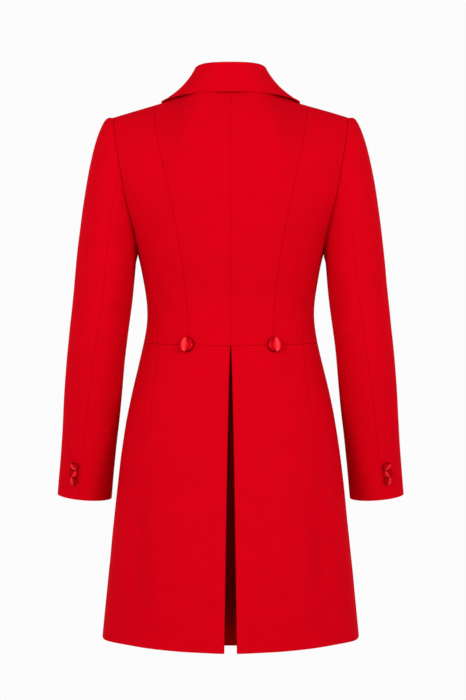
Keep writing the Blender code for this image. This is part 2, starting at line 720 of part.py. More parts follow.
def collar():
    neck, level = collar_neck()
    count = len(neck)
    share = np.linspace(0.0, 1.0, count)
    stand, lean, belly, clear = (through(COLLAR, "share", name)(share)
                                 for name in ("stand", "lean", "belly", "clear"))
    axis_way = unit(neck * np.array([1.0, 1.0, 0.0]))
    up = np.array([0.0, 0.0, 1.0])
    foot = neck - level * CLOTH / 2 + up * COLLAR_SEAT
    crest = neck + up * stand[:, None] + axis_way * lean[:, None]
    edge = collar_edge(share, clear)
    steps = np.linspace(0.0, 1.0, 6)
    columns = []
    for i in range(count):
        top_in = crest[i] - axis_way[i] * COLLAR_ROLL
        rise = np.linspace(0.0, 1.0, 3)[:, None]
        wall = mix(foot[i], top_in, rise)
        bend = np.linspace(math.pi, 0.0, ROLL_STEPS + 1)[1:, None]
        roll = crest[i] + COLLAR_ROLL * (axis_way[i] * np.cos(bend) + up * np.sin(bend))
        start = roll[-1]
        ahead = neck[min(i + 1, count - 1)] - neck[max(i - 1, 0)]
        proud = unit(np.cross(ahead, edge[i] - start))
        pull = (start + edge[i]) / 2 + proud * 2.0 * belly[i]
        r = steps[1:, None]
        fall = (1.0 - r) ** 2 * start + 2.0 * r * (1.0 - r) * pull + r * r * edge[i]
        follow = ease((i - NECK_COLUMNS) / (count - 1 - NECK_COLUMNS))
        if follow > 0.0:
            out, height = gorge_line(steps[1:], start, neck[-1])
            lift = mix(2.0 * COLLAR_ROLL, clear[i], ease(steps[1:]))
            lying = front_points(out, height, lift, False)
            fall = mix(fall, lying + r * (edge[i] - lying[-1]), follow)
        columns.append(np.concatenate([wall, roll, fall]))
    half = np.stack(columns, axis=1)
    middle = np.concatenate([mirrored(half[:, :0:-1]), half], axis=1)
    normal = grid_normals(middle)
    outer = drawn_in(middle + normal * CLOTH / 2, SEAM_GAP / 2, "left right")
    inner = drawn_in(middle - normal * CLOTH / 2, SEAM_GAP / 2, "left right")
    cloth("collar", outer, inner)


def lapel_middle(lifted):
    """Middle grid of a lapel, rows from the break up to the gorge and columns from the fold to the free edge,
    and the normals of the front along the fold."""
    neck = front_neck()[:(GORGE_TURN - FRONT_SEAM_TURN) // ARM_STEP + 1]
    height = neck[:, 1]
    out = NECKLINE_OUT(height)
    share = np.linspace(0.0, 1.0, len(height))
    edge_out = ((1.0 - share) ** 2 * LAPEL_FOOT.out + 2.0 * share * (1.0 - share) * LAPEL_BOW.out
                + share ** 2 * LAPEL_POINT.out)
    edge_height = ((1.0 - share) ** 2 * LAPEL_FOOT.height + 2.0 * share * (1.0 - share) * LAPEL_BOW.height
                   + share ** 2 * LAPEL_POINT.height)
    rows = []
    for i in range(len(height)):
        width = math.hypot(edge_out[i] - out[i], edge_height[i] - height[i])
        way = np.array([edge_out[i] - out[i], edge_height[i] - height[i]]) / width
        fold = mix(LAPEL_ROLL_FOOT, LAPEL_ROLL_TOP, share[i])
        bend = np.linspace(0.0, math.pi, ROLL_STEPS + 1)
        along = np.concatenate([-SEAM_GAP - fold * np.sin(bend), np.linspace(0.0, width, 6)[1:]])
        settle = ease(np.linspace(0.0, 1.0, 6)[1:])
        crown = 2.0 * fold - CLOTH / 2
        lift = np.concatenate([-CLOTH / 2 + fold * (1.0 - np.cos(bend)), mix(crown, LAPEL_CLEAR, settle)])
        rows.append(front_points(out[i] + way[0] * along, height[i] + way[1] * along, lift, lifted))
    return np.stack(rows), outward(neck[:, 0], height)


def lapels():
    for side, lifted in (("left", False), ("right", True)):
        middle, seam_way = lapel_middle(lifted)
        normal = -grid_normals(middle)
        normal[:, 0] = seam_way
        outer = drawn_in(middle + normal * CLOTH / 2, SEAM_GAP / 2, "top")
        inner = drawn_in(middle - normal * CLOTH / 2, SEAM_GAP / 2, "top")
        if side == "right":
            outer, inner = mirrored(outer), mirrored(inner)
        cloth("lapel_" + side, outer, inner)


def button(name, radius, dome, seat, normal, down, tilt, segments, clear=BUTTON_CLEAR):
    """A covered button turned from its half section; its back faces the seat."""
    normal = unit(np.asarray(normal, float))
    down = unit(down - normal * np.dot(down, normal))
    lean = math.radians(tilt)
    axis = normal * math.cos(lean) + down * math.sin(lean)
    side = unit(np.cross(down, axis))
    fore = np.cross(axis, side)
    lift = clear + BUTTON_BACK * radius * math.sin(lean)
    profile = [(0.0, 0.0), (BUTTON_BACK, 0.0), (0.97, 0.10), (1.0, 0.26), (0.86, 0.62), (0.52, 0.90), (0.0, 1.0)]
    mesh = bpy.data.meshes.new(name)
    bm = bmesh.new()
    chain = [bm.verts.new((r * radius, 0.0, h * dome)) for r, h in profile]
    links = [bm.edges.new(pair) for pair in zip(chain, chain[1:])]
    bmesh.ops.spin(bm, geom=chain + links, axis=(0.0, 0.0, 1.0), cent=(0.0, 0.0, 0.0),
                   angle=2.0 * math.pi, steps=segments, use_merge=True)
    bmesh.ops.remove_doubles(bm, verts=bm.verts[:], dist=1e-6)
    bmesh.ops.recalc_face_normals(bm, faces=bm.faces[:])
    for vert in bm.verts:
        x, y, z = vert.co
        vert.co = seat + normal * lift + side * x + fore * y + axis * z
    bm.to_mesh(mesh)
    bm.free()
    return add_object(name, mesh, SATIN, 0.30)


def both_buttons(stem, ending, radius, dome, seat, normal, down, tilt, segments, clear=BUTTON_CLEAR):
    flip = np.array([-1.0, 1.0, 1.0])
    button(stem + "_left" + ending, radius, dome, seat, normal, down, tilt, segments, clear)
    button(stem + "_right" + ending, radius, dome, seat * flip, normal * flip, down * flip, tilt, segments,
           clear)


def buttons():
    down = np.array([0.0, 0.0, -1.0])
    angle = angle_at(WAIST_BUTTON_OUT, WAIST_BUTTON_HEIGHT)
    both_buttons("button_waist", "", BIG_BUTTON, BIG_DOME, form(angle, WAIST_BUTTON_HEIGHT),
                 outward(angle, WAIST_BUTTON_HEIGHT), down, 0.0, 16, WAIST_BUTTON_CLEAR)
    span = SLEEVE[-1].height - SLEEVE[0].height
    for number, height in enumerate(CUFF_BUTTON_HEIGHTS, 1):
        along = 1.0 + (height - SLEEVE[0].height) / span
        seat = sleeve(CUFF_BUTTON_TURN, along)
        normal = sleeve_outward(CUFF_BUTTON_TURN, along)
        way = sleeve(CUFF_BUTTON_TURN, along + 0.01) - seat
        both_buttons("button_cuff", "_%d" % number, SMALL_BUTTON, SMALL_DOME, seat, normal, way,
                     CUFF_BUTTON_TILT, 12)
    for number, height in enumerate(FRONT_BUTTON_HEIGHTS, 1):
        seat = mirrored(front_points(np.array(0.0), np.array(height), 0.0, True))
        normal = mirrored(outward(np.array(math.pi), np.array(height)))
        button("button_front_%d" % number, BIG_BUTTON, BIG_DOME, seat, normal, down, 0.0, 16,
               FRONT_BUTTON_CLEAR)


for old in list(bpy.data.objects):
    bpy.data.objects.remove(old, do_unlink=True)
COAT = bpy.data.collections.new("tailcoat")
bpy.context.scene.collection.children.link(COAT)

bodice()
tails()
underlay()
sleeves()
collar()
lapels()
buttons()
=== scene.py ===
"""Looks of a fitted red wool tailcoat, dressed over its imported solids.

Laid out as an add-on: settings a user would change, one operator for each group of like pieces and one for
the stage, and a panel that lists them. Metres, +Z up; the coat faces -Y and the wearer's left is +X.
The left half of the form is worked out, and the right half mirrors it with creases of its own.
"""

import math
from collections import namedtuple

import bmesh
import bpy
import numpy as np
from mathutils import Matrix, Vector


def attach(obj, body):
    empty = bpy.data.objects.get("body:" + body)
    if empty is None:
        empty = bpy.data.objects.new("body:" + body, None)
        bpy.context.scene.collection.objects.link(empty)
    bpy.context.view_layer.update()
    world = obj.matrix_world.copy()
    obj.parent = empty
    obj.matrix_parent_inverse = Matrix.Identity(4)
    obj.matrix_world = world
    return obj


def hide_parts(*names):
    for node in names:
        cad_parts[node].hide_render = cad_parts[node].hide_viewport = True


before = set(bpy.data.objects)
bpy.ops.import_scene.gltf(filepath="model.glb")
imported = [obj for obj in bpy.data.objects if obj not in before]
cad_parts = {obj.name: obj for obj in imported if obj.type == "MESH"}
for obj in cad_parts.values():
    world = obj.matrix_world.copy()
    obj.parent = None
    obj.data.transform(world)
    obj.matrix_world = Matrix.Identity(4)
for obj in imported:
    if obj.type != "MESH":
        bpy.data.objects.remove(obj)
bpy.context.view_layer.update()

bl_info = {
    "name": "Tailcoat looks",
    "version": (1, 0, 0),
    "blender": (4, 5, 0),
    "location": "View3D > Sidebar > Tailcoat",
    "description": "Dresses the tailcoat's solids in wool, satin buttons and studio light",
    "category": "Object",
}

# Body form: one level outline per row, from the neck to the hem
Section = namedtuple("Section", "height half_width back middle front")
SECTIONS = [
    Section(0.060, 0.2250, 0.040, 0.000, -0.030),
    Section(0.012, 0.2250, 0.058, 0.000, -0.042),
    Section(-0.036, 0.2220, 0.082, 0.000, -0.058),
    Section(-0.100, 0.2070, 0.104, 0.000, -0.086),
    Section(-0.160, 0.1885, 0.112, 0.000, -0.112),
    Section(-0.215, 0.1655, 0.109, -0.003, -0.130),
    Section(-0.250, 0.1540, 0.105, -0.005, -0.133),
    Section(-0.300, 0.1437, 0.094, -0.009, -0.127),
    Section(-0.3575, 0.1370, 0.084, -0.011, -0.116),
    Section(-0.404, 0.1432, 0.090, -0.011, -0.114),
    Section(-0.460, 0.1562, 0.109, -0.006, -0.119),
    Section(-0.550, 0.1742, 0.132, 0.000, -0.127),
    Section(-0.660, 0.1880, 0.148, 0.000, -0.134),
    Section(-0.888, 0.2108, 0.168, 0.000, -0.150),
]
ROUNDNESS = 2.2

# Shoulders: the ridge the back and front meet on
SHOULDER_OUT = 0.1945
SHOULDER_HEIGHT = -0.0352
SHOULDER_SLOPE = 0.296
NECK_OUT = 0.066
NECK_FLARE_OUT = 0.115
NECK_RISE = 0.018
RIDGE_ROUND_NECK = 1.6
RIDGE_ROUND_ARM = 2.3
ROOF_NEAR = 0.05
ROOF_FAR = 0.13
ROOF_WIDENS_FROM = 0.05
ROOF_WIDENS_OVER = 0.08
ROOF_SOFTNESS = 0.34
ROOF_SOFT_FROM = 0.35
ROOF_SOFT_OVER = 0.5
ROOF_SOFT_STEPS = (-1.0, -0.5, 0.0, 0.5, 1.0)
RIDGE_UPRIGHT = 0.06

# Waist seam and hem
WAIST = -0.4035
WAIST_DIP = 0.0035
HEM = -0.8895
HEM_RISE = 0.0068
HEM_POWER = 1.2

# Soft flutes in the skirt, deepest at the hem
Flute = namedtuple("Flute", "angle spread depth")
FLUTES = [Flute(27.0, 8.0, 0.0020), Flute(56.0, 9.0, -0.0035), Flute(73.0, 7.0, 0.0025)]
FLUTE_START = -0.50

# Seams of the bodice
Seam = namedtuple("Seam", "height out")
PRINCESS_TOP_OUT = 0.126
PRINCESS = [
    Seam(-0.0157, 0.1260), Seam(-0.043, 0.1225), Seam(-0.075, 0.1175), Seam(-0.104, 0.1110),
    Seam(-0.137, 0.1035), Seam(-0.174, 0.0955), Seam(-0.210, 0.0885), Seam(-0.261, 0.0800),
    Seam(-0.301, 0.0740), Seam(-0.345, 0.0702), Seam(-0.407, 0.0690),
]
SIDE_SEAM = [
    Seam(-0.229, 0.1510), Seam(-0.250, 0.1435), Seam(-0.273, 0.1345), Seam(-0.314, 0.1240),
    Seam(-0.346, 0.1195), Seam(-0.407, 0.1185),
]
FRONT_SEAM_WAIST_ANGLE = 134.0
FRONT_SEAM_POWER = 1.6

# Armhole: turn 0 is the shoulder point, 90 the back, 180 the underarm, 270 the front
ARM_BOTTOM = -0.259
SIDE_SEAM_TURN = 150
FRONT_SEAM_TURN = 240
Scoop = namedtuple("Scoop", "turn back front")
SCOOPS = [Scoop(45, 15.5, 18.0), Scoop(90, 17.4, 21.0), Scoop(135, 13.0, 15.5)]

# Neckline and front edge, as seen from in front
NAPE_HEIGHT = 0.012
NECKLINE = [
    Seam(0.020, 0.0660), Seam(0.010, 0.0665), Seam(-0.010, 0.0645), Seam(-0.036, 0.0580),
    Seam(-0.100, 0.0355), Seam(-0.190, 0.0042),
]
BREAK_HEIGHT = -0.190
FRONT_EDGE = [
    Seam(-0.190, 0.0042), Seam(-0.203, -0.0085), Seam(-0.222, -0.0170), Seam(-0.250, -0.0200),
    Seam(-0.320, -0.0200), Seam(-0.410, -0.0200),
]
OVERLAP_LIFT = 0.0032
OVERLAP_OUT = 0.09
OVERLAP_OUT_FADE = 0.06
OVERLAP_TOP = -0.165
OVERLAP_TOP_FADE = 0.035
GORGE_TURN = 310

# Collar, from the centre back to the gorge
Collar = namedtuple("Collar", "share stand lean belly clear")
COLLAR = [
    Collar(0.00, 0.0350, 0.0040, 0.000, 0.0045),
    Collar(0.22, 0.0302, -0.0014, -0.003, 0.0080),
    Collar(0.44, 0.0190, -0.0100, -0.006, 0.0017),
    Collar(0.72, 0.0100, -0.0040, -0.002, 0.0040),
    Collar(1.00, 0.0040, 0.0000, 0.000, 0.0040),
]
COLLAR_EDGE_OUT = 0.1125
COLLAR_EDGE_NAPE = -0.001
COLLAR_FRONT_EDGE = [Seam(-0.0122, 0.1125), Seam(-0.030, 0.1185), Seam(-0.050, 0.1185)]
COLLAR_ROLL = 0.0024
COLLAR_PASSES = 14
COLLAR_EASE = 0.25
COLLAR_EASE_END = 2
COLLAR_EASE_FADE = 6.0
COLLAR_SEAT = 0.0008
GORGE_SHARE = 0.55
GORGE_NEAR = 0.05
GORGE_GAP = 0.0004
GORGE_MARKS = [0.0, 0.06, 0.6, 1.0]

# Lapel
LAPEL_POINT = Seam(-0.0860, 0.1190)
LAPEL_BOW = Seam(-0.1500, 0.0840)
LAPEL_FOOT = Seam(-0.1880, 0.0140)
LAPEL_ROLL_TOP = 0.0024
LAPEL_ROLL_FOOT = 0.0014
LAPEL_CLEAR = 0.0028

# Tails
CUTAWAY_HEM_ANGLE = 100.0
CUTAWAY_POWER = 2.2
VENT_TOP = 0.0004
VENT_HEM = 0.0098
VENT_POWER = 0.68
PLEAT_FOLD = 0.0018
PLEAT_WIDTH = 0.040
PLEAT_DEPTH_TOP = 0.0055
PLEAT_DEPTH_HEM = 0.030
UNDERLAY_HEM = -0.881
UNDERLAY_BOW = 0.003
UNDERLAY_TOP = 0.010
DART_WAIST = Seam(-0.4035, 0.1185)
DART_POINT = Seam(-0.5550, 0.1340)
DART_START = WAIST + 0.02
DART_GATHER = 1.7

# Sleeve rings below the cap
Ring = namedtuple("Ring", "height out fore half_width half_depth")
SLEEVE = [
    Ring(-0.275, 0.2042, 0.002, 0.0488, 0.0610),
    Ring(-0.333, 0.2096, 0.004, 0.0488, 0.0590),
    Ring(-0.398, 0.2174, 0.004, 0.0478, 0.0560),
    Ring(-0.497, 0.2268, -0.006, 0.0471, 0.0510),
    Ring(-0.5625, 0.2328, -0.018, 0.0453, 0.0470),
    Ring(-0.657, 0.2422, -0.036, 0.0448, 0.0440),
]
CUFF_RISE_OUT = 0.082
CUFF_RISE_FORE = 0.10
SLEEVE_TWIST = 14.0
SLEEVE_BACK_TURN = 94
BACK_SEAM_LEAN = 9.0
BACK_SEAM_SPREAD = 40.0
SLEEVE_FRONT_TURN = 230
CAP_FULLNESS = 0.37
CAP_OUT = (0.58, 0.42)
CAP_TURN = 0.25
CAP_DROP = (-0.36, 0.68)
HEAD_ROLL = 0.0009
HEAD_ROLL_AT = 0.10
HEAD_ROLL_SPREAD = 0.07
HEAD_ROLL_POWER = 1.5
TUCK = 0.0022
TUCK_REACH = 0.20
TUCK_TURN = 50.0
SEWN_FLAT = 0.1

# Buttons
WAIST_BUTTON = Seam(-0.406, 0.0705)
FRONT_BUTTON_HEIGHTS = [-0.232, -0.302, -0.372]
CUFF_BUTTON_TURN = 79.0
CUFF_BUTTON_HEIGHTS = [-0.6020, -0.6137, -0.6254]
CUFF_BUTTON_TILT = 16.0
CUFF_BUTTON_SWING = 18.0
CUFF_COVER_TURNS = [-42.0, 205.0, -10.0]
COVER_RIM = 0.26
COVER_SHIFT = 0.20
COVER_FOLD = 0.47
COVER_FOLD_WIDTH = 0.12
COVER_FOLD_DEPTH = 0.26
COVER_FULLNESS = (3.0, 0.62)
FRONT_COVER_TURN = 20.0
BUTTON_BACK = 0.80
BUTTON_EDGE = 0.25
BUTTON_CLEAR = 0.0004
WAIST_BUTTON_CLEAR = 0.0013
FRONT_BUTTON_CLEAR = -0.0006

# Creases: soft troughs, and ridges where the height is above 0, between two points of the form
Crease = namedtuple("Crease", "sides start finish width height")
BACK_CREASES = [
    Crease("left right", (0.1780, -0.125), (0.1500, -0.285), 0.013, 0.0014),
    Crease("left", (0.1230, -0.338), (0.0780, -0.362), 0.010, -0.0013),
    Crease("right", (0.1240, -0.352), (0.0840, -0.366), 0.011, -0.0014),
    Crease("left", (0.1180, -0.300), (0.0900, -0.330), 0.012, 0.0010),
    Crease("left", (0.1500, -0.600), (0.1520, -0.880), 0.017, -0.0032),
    Crease("left", (0.1210, -0.640), (0.1160, -0.880), 0.018, 0.0019),
    Crease("right", (0.1430, -0.570), (0.1480, -0.860), 0.018, -0.0035),
    Crease("right", (0.1140, -0.680), (0.1100, -0.885), 0.016, 0.0016),
    Crease("right", (0.0620, -0.560), (0.0660, -0.780), 0.022, -0.0011),
    Crease("left", (0.0700, -0.700), (0.0740, -0.870), 0.020, -0.0013),
]
FRONT_CREASES = [
    Crease("left", (0.0180, -0.236), (0.0950, -0.206), 0.011, -0.0019),
    Crease("right", (0.0220, -0.242), (0.1020, -0.222), 0.012, -0.0021),
    Crease("left right", (0.0240, -0.304), (0.0900, -0.322), 0.012, -0.0018),
    Crease("right", (0.0260, -0.365), (0.0960, -0.350), 0.010, -0.0016),
    Crease("left", (0.0300, -0.372), (0.0900, -0.362), 0.010, -0.0014),
    Crease("left right", (0.1450, -0.120), (0.1180, -0.200), 0.015, -0.0022),
]
SLEEVE_CREASES = [
    Crease("left", (84.0, 0.26), (18.0, 0.36), 0.015, -0.0027),
    Crease("right", (88.0, 0.28), (22.0, 0.35), 0.016, -0.0030),
    Crease("left right", (168.0, 0.98), (104.0, 1.03), 0.014, 0.0021),
    Crease("left", (4.0, 1.14), (62.0, 1.07), 0.014, -0.0029),
    Crease("right", (2.0, 1.11), (66.0, 1.06), 0.015, -0.0032),
    Crease("left", (176.0, 1.24), (108.0, 1.17), 0.012, -0.0030),
    Crease("right", (178.0, 1.20), (112.0, 1.13), 0.012, -0.0029),
    Crease("left right", (170.0, 1.31), (106.0, 1.26), 0.013, 0.0014),
    Crease("left", (16.0, 1.53), (96.0, 1.46), 0.020, -0.0016),
    Crease("right", (20.0, 1.60), (92.0, 1.52), 0.018, -0.0018),
    Crease("left", (176.0, 1.60), (116.0, 1.69), 0.016, -0.0018),
    Crease("right", (180.0, 1.48), (120.0, 1.57), 0.016, -0.0016),
    Crease("left right", (205.0, 1.22), (300.0, 1.30), 0.010, -0.0035),
    Crease("left", (210.0, 1.34), (312.0, 1.38), 0.011, -0.0029),
    Crease("right", (208.0, 1.36), (316.0, 1.42), 0.011, -0.0032),
    Crease("left right", (300.0, 0.42), (346.0, 0.34), 0.016, -0.0026),
    Crease("left right", (262.0, 0.70), (318.0, 0.86), 0.014, -0.0021),
]
CREASE_FADE = 0.35
UNEVENNESS = 0.00035
PUCKER = 0.00010
PUCKER_PITCH = 0.013
PUCKER_REACH = 0.006
DART_DEPTH = 0.0008
DART_WIDTH = 0.0011
DART_HOLLOW_WIDTH = 6.0 * DART_WIDTH
DART_FADE = 0.02
EDGE_ROLL_INSET = 0.0065
EDGE_ROLL_WIDTH = 0.0030
EDGE_ROLL_DEPTH = 0.0008

# Grid counts
ARM_STEP = 2.5
LOWER_ROWS = 40
NECK_COLUMNS = 16
PRINCESS_COLUMNS = 12
SIDE_BACK_COLUMNS = 20
SKIRT_ROWS = 110
SKIRT_BACK_COLUMNS = 34
SKIRT_FRONT_COLUMNS = 44
CAP_ROWS = 36
ARM_ROWS = 84
ROLL_STEPS = 8
FALL_ROWS = 18
LAPEL_COLUMNS = 18
STAND_ROWS = 6
EDGE_ROWS = 10
RETURN_COLUMNS = 10
UNDERLAY_COLUMNS = 32
DART_STATIONS = 15
BODY_CREASE_STATIONS = 9
SLEEVE_CREASE_STATIONS = 13
BUTTON_ROUND = 160
BUTTON_RINGS = 40
FLOOR_ROUND = 96

# Seams: the gap where one piece is set on another, and the shadow beside it, painted as a darker line
SEAM_GAP = 0.0003
ALLOWANCE = 0.005
# Width and depth of the painted shadow line beside a seam
SEAM_LINE = 0.0011
SEAM_SHADE = 0.24
FAINT_LINE = 0.0003
NO_LINE = 1.0
Faces = namedtuple("Faces", "outer inner line")

# Wool and satin
RIB_SLANT = 0.7
YARN_PITCH = 0.6
SLUB_SIZE = 0.004
NAP_SIZE = 0.0013
NAP_RELIEF = 0.0004
CLOUD_SIZE = 0.030
WOOL_CONTRAST = 0.14
# Painted light: the pleat strip is painted paler between these heights, by this gain, for light from below
# the hem
PAINTED_LIGHT_FROM = -0.800
PAINTED_LIGHT_TO = -0.900
PAINTED_LIGHT_GAIN = 2.4
# Painted shade in the fold and under the edge of a satin cover, and the width of the painted sheen band
SATIN_LINE = 0.0016
SATIN_SHADE = 0.85
PAINTED_SHEEN_WIDTH = 0.50
DRIFT_SIZE = 0.0030
FLOAT_PITCH = 0.00035
FLOAT_RELIEF = 0.0001

# Stage
KEY_PLACE = (1.8, 2.2, 0.40)
KEY_AIM = (0.0, 0.0, -0.25)
KEY_SIZE = 0.9
FILL_PLACE = (0.0, -3.4, 0.6)
FILL_SIZE = 3.0
FLOOR_RADIUS = 2.0
FLOOR_COLOUR = (0.62, 0.62, 0.62)
SURROUND_STOPS = [(0.20, 1.0), (0.75, 0.55)]
SURROUND_STRENGTH = 0.97
SENSOR_WIDTH = 36.0

# Flat cut of each cloth piece: its widest level line, its longest column, the area between its edges, the
# edges of its grid that are sewn, and the pieces it is sewn to
Cut = namedtuple("Cut", "width length area edges sewn_to")
CUTS = {
    "back": Cut(0.147, 0.474, 0.0440, "left right bottom top", ("collar", "skirt")),
    "side_back": Cut(0.099, 0.438, 0.0321, "left right bottom top", ("back", "skirt")),
    "side_front": Cut(0.173, 0.222, 0.0229, "left right bottom top", ("side_back", "skirt")),
    "front": Cut(0.189, 0.484, 0.0602, "left bottom top", ("back", "side_front")),
    "skirt": Cut(0.454, 0.548, 0.1987, "top", ("back", "front")),
    "pleat_underlay": Cut(0.102, 0.486, 0.0465, "left right", ("skirt",)),
    "sleeve_top": Cut(0.216, 0.645, 0.1188, "left right bottom", ("side_back", "front")),
    "sleeve_under": Cut(0.134, 0.545, 0.0554, "left right bottom", ("sleeve_top", "side_front")),
    "collar": Cut(0.411, 0.112, 0.0302, "bottom", ("back", "front")),
    "lapel": Cut(0.088, 0.186, 0.0099, "left", ("front",)),
}


def column(rows, name):
    """One named column of a table as an array."""
    return np.array([getattr(row, name) for row in rows], float)


def spline(xs, ys):
    """Smooth curve through the points of a table, level in curvature at both ends."""
    order = np.argsort(xs)
    xs = np.asarray(xs, float)[order]
    ys = np.asarray(ys, float)[order]
    count = len(xs)
    step = np.diff(xs)
    system = np.eye(count)
    target = np.zeros(count)
    for i in range(1, count - 1):
        system[i, i - 1:i + 2] = step[i - 1], 2.0 * (step[i - 1] + step[i]), step[i]
        target[i] = 6.0 * ((ys[i + 1] - ys[i]) / step[i] - (ys[i] - ys[i - 1]) / step[i - 1])
    bend = np.linalg.solve(system, target)

    def value(x):
        x = np.clip(np.asarray(x, float), xs[0], xs[-1])
        i = np.clip(np.searchsorted(xs, x) - 1, 0, count - 2)
        after = x - xs[i]
        before = xs[i + 1] - x
        cubic = (bend[i] * before ** 3 + bend[i + 1] * after ** 3) / (6.0 * step[i])
        low = (ys[i] / step[i] - bend[i] * step[i] / 6.0) * before
        high = (ys[i + 1] / step[i] - bend[i + 1] * step[i] / 6.0) * after
        return cubic + low + high
    return value


def through(rows, along, name):
    return spline(column(rows, along), column(rows, name))


HALF_WIDTH = through(SECTIONS, "height", "half_width")
BACK = through(SECTIONS, "height", "back")
MIDDLE = through(SECTIONS, "height", "middle")
FRONT = through(SECTIONS, "height", "front")
PRINCESS_OUT = through(PRINCESS, "height", "out")
SIDE_SEAM_OUT = through(SIDE_SEAM, "height", "out")
NECKLINE_OUT = through(NECKLINE, "height", "out")
FRONT_EDGE_OUT = through(FRONT_EDGE, "height", "out")
RING_OUT = through(SLEEVE, "height", "out")
RING_FORE = through(SLEEVE, "height", "fore")
RING_HALF_WIDTH = through(SLEEVE, "height", "half_width")
RING_HALF_DEPTH = through(SLEEVE, "height", "half_depth")


def ease(x):
    """Smooth step from 0 to 1."""
    x = np.clip(x, 0.0, 1.0)
    return x * x * (3.0 - 2.0 * x)


def unit(vectors):
    return vectors / np.maximum(np.linalg.norm(vectors, axis=-1, keepdims=True), 1e-12)


def mix(a, b, share):
    return a + (b - a) * share


def mirrored(points):
    return points * np.array([-1.0, 1.0, 1.0])


def on_side(points, side):
    """The left half's points, on the side they are made for."""
    return mirrored(points) if side == "right" else points


# Form of the body

def ridge_height(out):
    out = np.abs(out)
    flare = np.clip((NECK_FLARE_OUT - out) / (NECK_FLARE_OUT - NECK_OUT), 0.0, None)
    return SHOULDER_HEIGHT + SHOULDER_SLOPE * (SHOULDER_OUT - out) + NECK_RISE * flare ** 2


def ridge_share(out, height):
    """0 on the shoulder ridge, 1 where its rounding has run out, more below that."""
    roof = mix(ROOF_NEAR, ROOF_FAR, ease((np.abs(out) - ROOF_WIDENS_FROM) / ROOF_WIDENS_OVER))
    return np.clip((ridge_height(out) - height) / roof, 0.0, 2.0)


def rounded_roof(share, bend):
    """Depth of the shoulder's rounding: 0 on the ridge, 1 below it, blurred so that no line shows between."""
    blur = ROOF_SOFTNESS * ease((share - ROOF_SOFT_FROM) / ROOF_SOFT_OVER)
    shares = [np.clip(share + step * blur, 0.0, 1.0) for step in ROOF_SOFT_STEPS]
    return sum((1.0 - (1.0 - part) ** bend) ** (1.0 / bend) for part in shares) / len(shares)


def half_depth(height, front):
    middle = MIDDLE(height)
    return np.where(front, middle - FRONT(height), BACK(height) - middle)


def flutes(angle, height):
    drop = ease((FLUTE_START - height) / (FLUTE_START - HEM))
    degrees = np.degrees(np.abs(angle))
    waves = sum(f.depth * np.exp(-((degrees - f.angle) / f.spread) ** 2) for f in FLUTES)
    return drop * waves


def form(angle, height):
    """Outer face of the coat. Angle 0 is the centre back, 90 degrees the left side, 180 the front."""
    angle = np.asarray(angle, float)
    height = np.asarray(height, float)
    sine, cosine = np.sin(angle), np.cos(angle)
    depth = half_depth(height, cosine < 0.0)
    spread = np.abs(sine / HALF_WIDTH(height)) ** ROUNDNESS + np.abs(cosine / depth) ** ROUNDNESS
    radius = spread ** (-1.0 / ROUNDNESS) + flutes(angle, height)
    x = radius * sine
    y = MIDDLE(height) + radius * cosine
    share = ridge_share(x, height)
    bend = mix(RIDGE_ROUND_NECK, RIDGE_ROUND_ARM, ease((np.abs(x) - NECK_OUT) / (SHOULDER_OUT - NECK_OUT)))
    return np.stack([x, y * rounded_roof(share, bend), height + 0.0 * x], axis=-1)


def outward(angle, height):
    """Unit normal of the outer face, upright along the shoulder ridge so that the two sides agree."""
    turn, rise = 1e-3, 2e-4
    across = form(angle + turn, height) - form(angle - turn, height)
    up = form(angle, height + rise) - form(angle, height - rise)
    normal = unit(np.cross(up, across))
    point = form(angle, height)
    normal[..., 1] *= ease(ridge_share(point[..., 0], height) / RIDGE_UPRIGHT)
    return unit(normal)


def angle_at(out, height, front=False):
    """Angle of the point of the form that lies this far out from the centre."""
    out = np.asarray(out, float)
    rest = 1.0 - np.abs(out / HALF_WIDTH(height)) ** ROUNDNESS
    reach = half_depth(height, front) * np.clip(rest, 0.0, None) ** (1.0 / ROUNDNESS)
    angle = np.arctan2(out, reach)
    return np.pi - angle if front else angle


def waist_height(angle):
    return WAIST - WAIST_DIP * np.cos(angle) ** 2


def hem_height(angle):
    return HEM + HEM_RISE * np.abs(np.sin(angle)) ** HEM_POWER


def chart(angle, height):
    return np.stack(np.broadcast_arrays(np.asarray(angle, float), np.asarray(height, float)), axis=-1)


def armhole(turn):
    """Chart points of the armhole edge for turns in degrees."""
    turn = np.asarray(turn, float)
    front = turn > 180.0
    half = np.where(front, 360.0 - turn, turn)
    middle = 0.5 * (SHOULDER_HEIGHT + ARM_BOTTOM)
    height = middle + (SHOULDER_HEIGHT - middle) * np.cos(np.radians(half))
    top_back = 90.0 - np.degrees(angle_at(SHOULDER_OUT, SHOULDER_HEIGHT))
    top_front = np.degrees(angle_at(SHOULDER_OUT, SHOULDER_HEIGHT, True)) - 90.0
    stations = [0.0, *column(SCOOPS, "turn"), 180.0]
    back = spline(stations, [top_back, *column(SCOOPS, "back"), 0.0])(half)
    fore = spline(stations, [top_front, *column(SCOOPS, "front"), 0.0])(half)
    return chart(np.radians(np.where(front, 90.0 + fore, 90.0 - back)), height)


def turns(first, last):
    return np.linspace(first, last, round(abs(last - first) / ARM_STEP) + 1)


def climb(first_turn, last_turn):
    """Shares of the way up an edge: even rows below the armhole, then the armhole's own steps."""
    heights = armhole(turns(first_turn, last_turn))[:, 1]
    corner = (heights[0] - WAIST) / (SHOULDER_HEIGHT - WAIST)
    upper = (heights[1:] - WAIST) / (SHOULDER_HEIGHT - WAIST)
    return np.concatenate([np.linspace(0.0, corner, LOWER_ROWS + 1), upper])


def rise_to(top, shares, seam_out, front=False):
    """A seam's chart points from the waist up to a height, at the given shares of the way."""
    foot = waist_height(angle_at(seam_out(WAIST), WAIST, front))
    height = foot + (top - foot) * shares
    return chart(angle_at(seam_out(height), height, front), height)


